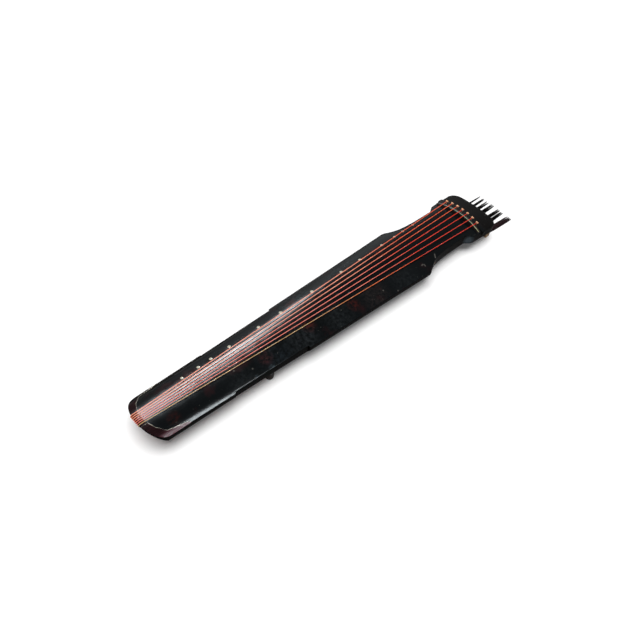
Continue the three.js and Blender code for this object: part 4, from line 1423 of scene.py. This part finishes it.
def make_strip():
    """The plate that the strings come up through, drilled once for each of them."""
    straight = STRIP_HALF_LENGTH - STRIP_END_ROUND

    def section(y):
        past = max(abs(y) - straight, 0) / STRIP_END_ROUND
        trim = (STRIP_END - STRIP_START) / 4 * past ** 2
        first, last = STRIP_START + trim, STRIP_END - trim
        return (
            (first, STRIP_BOTTOM), (last, STRIP_BOTTOM),
            (last, arch(last, y) + STRIP_PROUD), (first, arch(first, y) + STRIP_PROUD),
        )

    strip = across_loft("string_hole_plate", STRIP_HALF_LENGTH, section, STRIP_ROUND)
    give(strip, "lacquer")
    for number in range(STRING_COUNT):
        bpy.ops.object.select_all(action="DESELECT")
        bpy.ops.mesh.primitive_cylinder_add(
            vertices=24, radius=STRING_HOLE_RADIUS * MM, depth=DRILL_LENGTH * MM,
            location=place(HOLE_ALONG, string_at_bridge(number), DRILL_MIDDLE),
        )
        drill = bpy.context.object
        settle(drill)
        give(drill, "lacquer")
        cut(strip, drill)
    smooth(strip)
    shaded_walls(strip)
    dress(strip, None, "body", "string_hole_strip", slot="lacquer")


def edged_copy(node, name, finish, width, angle, segments=3, slot=None):
    """A piece in its node's own shape, with its edges rounded."""
    piece = copy_of(node, name)
    soften(piece, width, angle, segments)
    smooth(piece)
    dress(piece, finish, "body", node, slot=slot)


def make_nuts():
    """Both nuts and the rims of both sound holes."""
    edged_copy("tail_nut", "tail_nut_block", "crown_wood", 0.6, 35)
    edged_copy("lower_nut", "lower_nut_block", "crown_wood", 0.6, 35)
    edged_copy("dragon_pool_frame", "dragon_pool_rim", "hardwood", 0.5, 50)
    edged_copy("phoenix_pond_frame", "phoenix_pond_rim", "hardwood", 0.5, 50)


# Feet, guards and pegs

# A goose foot from the base to the floor: radius and height
FOOT_FLARE = BASE_HEIGHT - 13
FOOT_PROFILE = (
    (FOOT_NECK_RADIUS, BASE_HEIGHT), (FOOT_NECK_RADIUS, FOOT_FLARE + 1), (9.8, FOOT_FLARE),
    (11.6, FOOT_FLARE - 2.4), (12, FOOT_FLARE - 4), (12, FLOOR_HEIGHT + 8),
    (11.9, FLOOR_HEIGHT + 6.4), (11.2, FLOOR_HEIGHT + 2), (10.7, FLOOR_HEIGHT + 0.6),
    (10.1, FLOOR_HEIGHT),
)

# A tuning peg from its head to its lower end and up into the tassel's bore: radius and height
PEG_SIDES = 8
PEG_TOP = -11.75
PEG_LENGTH = 35
PEG_BOTTOM = PEG_TOP - PEG_LENGTH
PEG_PROFILE = (
    (6.6, PEG_TOP), (7.2, PEG_TOP - 0.7), (7.2, PEG_TOP - 3.4), (6.9, PEG_TOP - 4.3),
    (5.6, mix(PEG_TOP, PEG_BOTTOM, 0.5)), (6.3, PEG_BOTTOM + 4.4), (6.4, PEG_BOTTOM + 3.6),
    (6.2, PEG_BOTTOM + 0.5), (5.8, PEG_BOTTOM), (1.9, PEG_BOTTOM), (1.7, PEG_BOTTOM + 0.3),
    (1.7, PEG_BOTTOM + 4),
)


def make_feet():
    for side, name in SIDES:
        foot = turned(f"goose_foot_{name}", (FOOT_ALONG, side * FOOT_ACROSS), FOOT_PROFILE)
        soften(foot, 0.4, 30, 2)
        smooth(foot, 40)
        dress(foot, "hardwood", "body", f"foot_{name}")


def make_guards():
    for _, name in SIDES:
        edged_copy(
            f"peg_guard_{name}", f"peg_guard_block_{name}", "guard_wood", 1.6, 40, 4, "hardwood",
        )


def make_pegs():
    for number in range(STRING_COUNT):
        centre = (HOLE_ALONG, string_at_bridge(number))
        peg = turned(f"peg_body_{number + 1}", centre, PEG_PROFILE, PEG_SIDES)
        soften(peg, 0.5, 30, 2)
        smooth(peg, 32)
        dress(peg, "hardwood", f"tuning_peg_{number + 1}", f"peg_{number + 1}")


# Strings, loops and studs

NUT_ROUND_RADIUS = 3
# Rounded upper edge of the tail nut, as shares of its rounding, with the way out to a string
NUT_EDGE_SHARES = ((1 / 2, 1 / 3, 0.7, 0.75), (1 / 5, 0.85, 1, 0.3))
# How far a string's middle keeps off an edge that it bends round
STRING_BEND_SHARE = 1.08
# Bends of a string are drawn as curves that start this far from their corners
STRING_BEND_REACH = 1.2
# Turn round a foot, in half turns, and the way down from one string's to the next one's
WINDING_SHARES = (-0.47, 1.1)
WINDING_STEP = 2.6
# A string starts in its knot, this far inside the knot's tail end
KNOT_LENGTH = 10.5
KNOT_HOLD = 1.5
# The knots lie a little under the saddle's top, and the far ones, on thicker strings, sit
# a step higher each
KNOT_DROP = 0.5
KNOT_STEP = 0.5
# Strings on the far side that are coral, and not red
CORAL_STRINGS = 3


def knot_height(number):
    top = saddle_top(string_at_bridge(number))
    return top - KNOT_DROP + (STRING_COUNT - 1 - number) * KNOT_STEP


def string_route(number):
    """Knot, bridge, tail nut, down the undercut, along the base, round a foot."""
    radius = STRING_DIAMETERS[number] / 2
    off = GAP + radius
    at_bridge, at_nut = string_at_bridge(number), string_at_nut(number)
    crest = saddle_top(at_bridge) + off
    route = [
        (HOLE_ALONG - KNOT_LENGTH / 2 + KNOT_HOLD, at_bridge, knot_height(number)),
        (BRIDGE_ALONG + SADDLE_WIDTH / 2, at_bridge, crest),
        (BRIDGE_ALONG - SADDLE_WIDTH / 2, at_bridge, crest),
        (NUT_CREST, at_nut, NUT_TOP + off),
        (NUT_ROUND_RADIUS - radius, at_nut, NUT_TOP + off),
    ]
    for x, z, out, up in NUT_EDGE_SHARES:
        route.append((
            NUT_ROUND_RADIUS * x - off * out, at_nut, NUT_TOP - NUT_ROUND_RADIUS * z + off * up,
        ))
    bend = off * STRING_BEND_SHARE
    depth = UNDERCUT_TOP - BASE_HEIGHT
    slope = math.hypot(UNDERCUT_LENGTH, depth)
    back, down = bend * depth / slope, bend * UNDERCUT_LENGTH / slope
    route += [
        (-bend, at_nut, UNDERCUT_TOP),
        (-back, at_nut, UNDERCUT_TOP - down),
        (UNDERCUT_LENGTH - back, at_nut, BASE_HEIGHT - down),
        (UNDERCUT_LENGTH, at_nut, BASE_HEIGHT - bend),
    ]
    far = number <= (STRING_COUNT - 1) / 2
    side = 1 if far else -1
    order = number if far else STRING_COUNT - 1 - number
    level = BASE_HEIGHT - GAP - max(STRING_DIAMETERS) - order * WINDING_STEP
    for share in span(0, 1, 28):
        turn = mix(*WINDING_SHARES, share) * math.pi
        x = FOOT_ALONG + (FOOT_NECK_RADIUS + off) * math.cos(turn)
        y = side * (FOOT_ACROSS + (FOOT_NECK_RADIUS + off) * math.sin(turn))
        route.append((x, y, level))
    return [place(*point) for point in route]


def make_strings():
    for number, diameter in enumerate(STRING_DIAMETERS):
        path = eased(string_route(number), STRING_BEND_REACH * MM)
        string = sweep(f"silk_string_{number + 1}", path, diameter / 2 * MM, 12)
        finish = "coral_silk" if number < CORAL_STRINGS else "red_silk"
        if number == STRING_COUNT - 1:
            finish = "gold_silk"
        slot = "gold_silk" if finish == "gold_silk" else "red_silk"
        dress(string, finish, "body", f"string_{number + 1}", slot=slot)


# Bow of a loop: half width across, length along, how far its strands pass over and under
# each other, and how much its ends lift
BOW_HALF_WIDTH = 3.6
BOW_LENGTH = 4.8
BOW_CROSSING_RISE = 0.9
BOW_END_LIFT = 0.05
BOW_POINTS = 40
LOOP_PLY_RADIUS = 0.82
BOW_THICKENING = 1.15

# Winding round its middle: turns, half width across, and reach along and up
WRAP_TURNS = 2.5
WRAP_HALF_WIDTH = 1.5
WRAP_REACH = 2.1
WRAP_RISE = 1.9
WRAP_STEPS = 48

# Its two legs, twisted together on their way down through the strip to the peg
LEG_TURNS = 5
LEG_TWIST_RADIUS = 0.6
LEG_RADIUS = 0.6
LEG_STEPS = 40


def make_loops():
    """Each loop ends in a small bow, the fly's head, that holds its string."""
    for number in range(STRING_COUNT):
        y = string_at_bridge(number)
        up = knot_height(number)
        bow = []
        for i in range(BOW_POINTS):
            turn = 2 * math.pi * i / BOW_POINTS
            out = BOW_HALF_WIDTH * math.sin(turn)
            side = BOW_LENGTH / 2 * math.sin(2 * turn)
            lift = BOW_CROSSING_RISE * math.cos(turn) + BOW_END_LIFT * out ** 2
            bow.append(place(HOLE_ALONG + side, y + out, up + lift))
        pieces = [sweep("bow", bow, LOOP_PLY_RADIUS * BOW_THICKENING * MM, 8, closed=True)]
        wrap = []
        for share in span(0, 1, WRAP_STEPS + 1):
            turn = 2 * math.pi * WRAP_TURNS * share
            out = mix(-WRAP_HALF_WIDTH, WRAP_HALF_WIDTH, share)
            side, lift = WRAP_REACH * math.cos(turn), WRAP_RISE * math.sin(turn)
            wrap.append(place(HOLE_ALONG + side, y + out, up + lift))
        pieces.append(sweep("wrap", wrap, LOOP_PLY_RADIUS * MM, 8))
        low = -RIM_DEPTH - GAP / 2
        for phase in (0, math.pi):
            leg = []
            for share in span(0, 1, LEG_STEPS + 1):
                turn = phase + 2 * math.pi * LEG_TURNS * share
                side, out = LEG_TWIST_RADIUS * math.cos(turn), LEG_TWIST_RADIUS * math.sin(turn)
                leg.append(place(HOLE_ALONG + side, y + out, mix(up, low, share)))
            pieces.append(sweep("leg", leg, LEG_RADIUS * MM, 8))
        loop = joined(f"fly_head_loop_{number + 1}", pieces)
        dress(loop, "salmon_silk", "body", f"silk_loop_{number + 1}")


# Where the studs stand, as shares of the sounding string length from the bridge
STUD_SHARES = (
    1 / 8, 1 / 6, 1 / 5, 1 / 4, 1 / 3, 2 / 5, 1 / 2, 3 / 5, 2 / 3, 3 / 4, 4 / 5, 5 / 6, 7 / 8,
)
# How far out their line lies at the nut and at the bridge
STUD_LINE = (25.3, 63.5)
# Diameter of the middle one, and how much smaller each is than the next one inside
STUD_DIAMETER = 9.6
STUD_TAPER = 0.4
# Depth of its seat, height of its straight side, and the insets and lifts of its round top
STUD_SEAT = 0.6
STUD_SIDE = 0.75
STUD_TOP = ((0.25, 0.1), (0.9, 0.12), (1.4, 0.06))


def make_studs():
    middle = len(STUD_SHARES) // 2
    for number, share in enumerate(STUD_SHARES):
        x = BRIDGE_ALONG - STRING_LENGTH * share
        y = STRINGS_ASIDE + mix(*STUD_LINE, (x - NUT_ALONG) / STRING_LENGTH)
        radius = (STUD_DIAMETER - STUD_TAPER * abs(number - middle)) / 2
        bpy.ops.object.select_all(action="DESELECT")
        bpy.ops.mesh.primitive_circle_add(
            vertices=32, radius=radius * MM, fill_type="NGON",
            location=place(x, y, arch(x, y) - STUD_SEAT),
        )
        stud = bpy.context.object
        stud.name = stud.data.name = f"pearl_stud_{number + 1:02d}"
        bpy.ops.object.mode_set(mode="EDIT")
        bpy.ops.mesh.extrude_region_move(TRANSFORM_OT_translate={"value": (0, 0, STUD_SIDE * MM)})
        for inset, lift in STUD_TOP:
            bpy.ops.mesh.inset(thickness=inset * MM)
            bpy.ops.transform.translate(value=(0, 0, lift * MM))
        bpy.ops.mesh.select_all(action="SELECT")
        bpy.ops.mesh.normals_make_consistent(inside=False)
        bpy.ops.object.mode_set(mode="OBJECT")
        stud.rotation_euler.x = math.atan((arch(x, y + 1) - arch(x, y - 1)) / 2)
        settle(stud)
        smooth(stud, 50)
        dress(stud, "pearl", "body", f"stud_{number + 1:02d}")


# Set

# Floor, in metres, a little under the feet so that nothing shares its plane
FLOOR_SIZE = 16
FLOOR_DROP = 0.0003
PAPER = (0.8, 0.8, 0.8, 1)
SEEN_PAPER = (0.92, 0.92, 0.92, 1)
WHITE = (1, 1, 1, 1)
FLOOR_GLOW = 0.07
WORLD_STRENGTH = 0.15

# Soft light from above, its sun leaning by two small angles, in degrees
SKYLIGHT_POWER = 3.3
SKYLIGHT_ANGLE = 50
SKYLIGHT_TILT = -2
SKYLIGHT_LEAN = -4

# Bright cards, a little blue: name, place and aim, length and width, brightness, and the way
# that the length runs. The first two give the bands of light on the tail and the middle, the
# third the sheen of the far side, and the last the line of light on the near rim
CARD_TINT = (0.88, 0.96, 1.0)
CARDS = (
    (
        "tail_band_card", (0.08, 0.95, 1.41), (-0.45, 0.01, 0.079), (0.78, 0.26), 350,
        (0.53, 0.1, -0.16),
    ),
    (
        "mid_band_card", (0.53, 1.15, 1.1), (-0.2, 0.03, 0.078), (0.62, 0.2), 130,
        (0.37, 0.32, -0.44),
    ),
    ("far_card", (0.95, 1.65, 0.75), (0.0, 0.06, 0.07), (2.0, 0.7), 1.5, (1, 0, 0)),
    ("rim_card", (-0.045, -1.3, 0.725), (-0.45, -0.067, 0.065), (0.33, 0.45), 195, (1, 0, 0)),
)


def background_rays(tree):
    """One for the rays that show the background, as in the camera, in gloss and through glass."""
    rays = add(tree, "LightPath")
    seen = add(tree, "Math", {
        0: rays.outputs["Is Camera Ray"], 1: rays.outputs["Is Glossy Ray"],
    }, operation="MAXIMUM")
    return add(tree, "Math", {
        0: seen, 1: rays.outputs["Is Transmission Ray"],
    }, operation="MAXIMUM")


def make_floor():
    """Matt white floor. The camera and glossy rays see it a little brighter, which makes it
    plain white outside the shadow, and the light that it throws back is that of white paper."""
    bpy.ops.object.select_all(action="DESELECT")
    bpy.ops.mesh.primitive_plane_add(size=FLOOR_SIZE, location=(0, 0, -FLOOR_DROP))
    floor = bpy.context.object
    floor.name = "floor"
    made = bpy.data.materials.new("matt_white_floor")
    made.use_nodes = True
    tree = made.node_tree
    tree.nodes.clear()
    paper = add(tree, "BsdfDiffuse", {"Color": PAPER})
    seen = add(tree, "BsdfDiffuse", {"Color": SEEN_PAPER})
    glow = add(tree, "Emission", {"Color": WHITE, "Strength": FLOOR_GLOW})
    both = add(tree, "AddShader", {0: seen, 1: glow})
    chosen = add(tree, "MixShader", {0: background_rays(tree), 1: paper, 2: both})
    add(tree, "OutputMaterial", {"Surface": chosen})
    floor.data.materials.append(made)


def make_world():
    """White where it is seen, and a faint even light on the object."""
    world = bpy.data.worlds.new("studio")
    bpy.context.scene.world = world
    world.use_nodes = True
    tree = world.node_tree
    tree.nodes.clear()
    strength = add(tree, "MapRange", {
        "Value": background_rays(tree), "To Min": WORLD_STRENGTH, "To Max": 1.0,
    })
    light = add(tree, "Background", {"Color": WHITE, "Strength": strength})
    add(tree, "OutputWorld", {"Surface": light})


def lamp(name, kind):
    """A new lamp and its settings."""
    data = bpy.data.lights.new(name, kind)
    made = bpy.data.objects.new(name, data)
    bpy.context.collection.objects.link(made)
    return made, data


def make_lights():
    """A soft sun for the shadow, and cards that only show in glossy surfaces."""
    skylight, data = lamp("skylight", "SUN")
    data.energy = SKYLIGHT_POWER
    data.angle = math.radians(SKYLIGHT_ANGLE)
    skylight.rotation_euler.x = -math.radians(SKYLIGHT_TILT)
    skylight.rotation_euler.y = math.radians(SKYLIGHT_LEAN)
    skylight.visible_glossy = False
    for name, at, aim, size, brightness, way in CARDS:
        card, data = lamp(name, "AREA")
        data.shape = "RECTANGLE"
        data.color = CARD_TINT
        data.size, data.size_y = size
        data.energy = brightness * math.pi * size[0] * size[1]
        back = (Vector(at) - Vector(aim)).normalized()
        length = (Vector(way) - back * back.dot(Vector(way))).normalized()
        turn = Matrix((length, back.cross(length), back)).transposed().to_4x4()
        card.matrix_world = Matrix.Translation(at) @ turn
        card.visible_diffuse = False


finishes = make_finishes()
make_camera()
for number in range(STRING_COUNT):
    tassel(number)
make_body()
for side, name in SIDES:
    crown(side, name)
make_bridge()
make_strip()
make_nuts()
make_feet()
make_guards()
make_pegs()
make_strings()
make_loops()
make_studs()
for node in ("heaven_post", "earth_post"):
    give(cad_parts[node], "bare_wood")
make_floor()
make_world()
make_lights()
bpy.context.scene.view_settings.view_transform = "Standard"
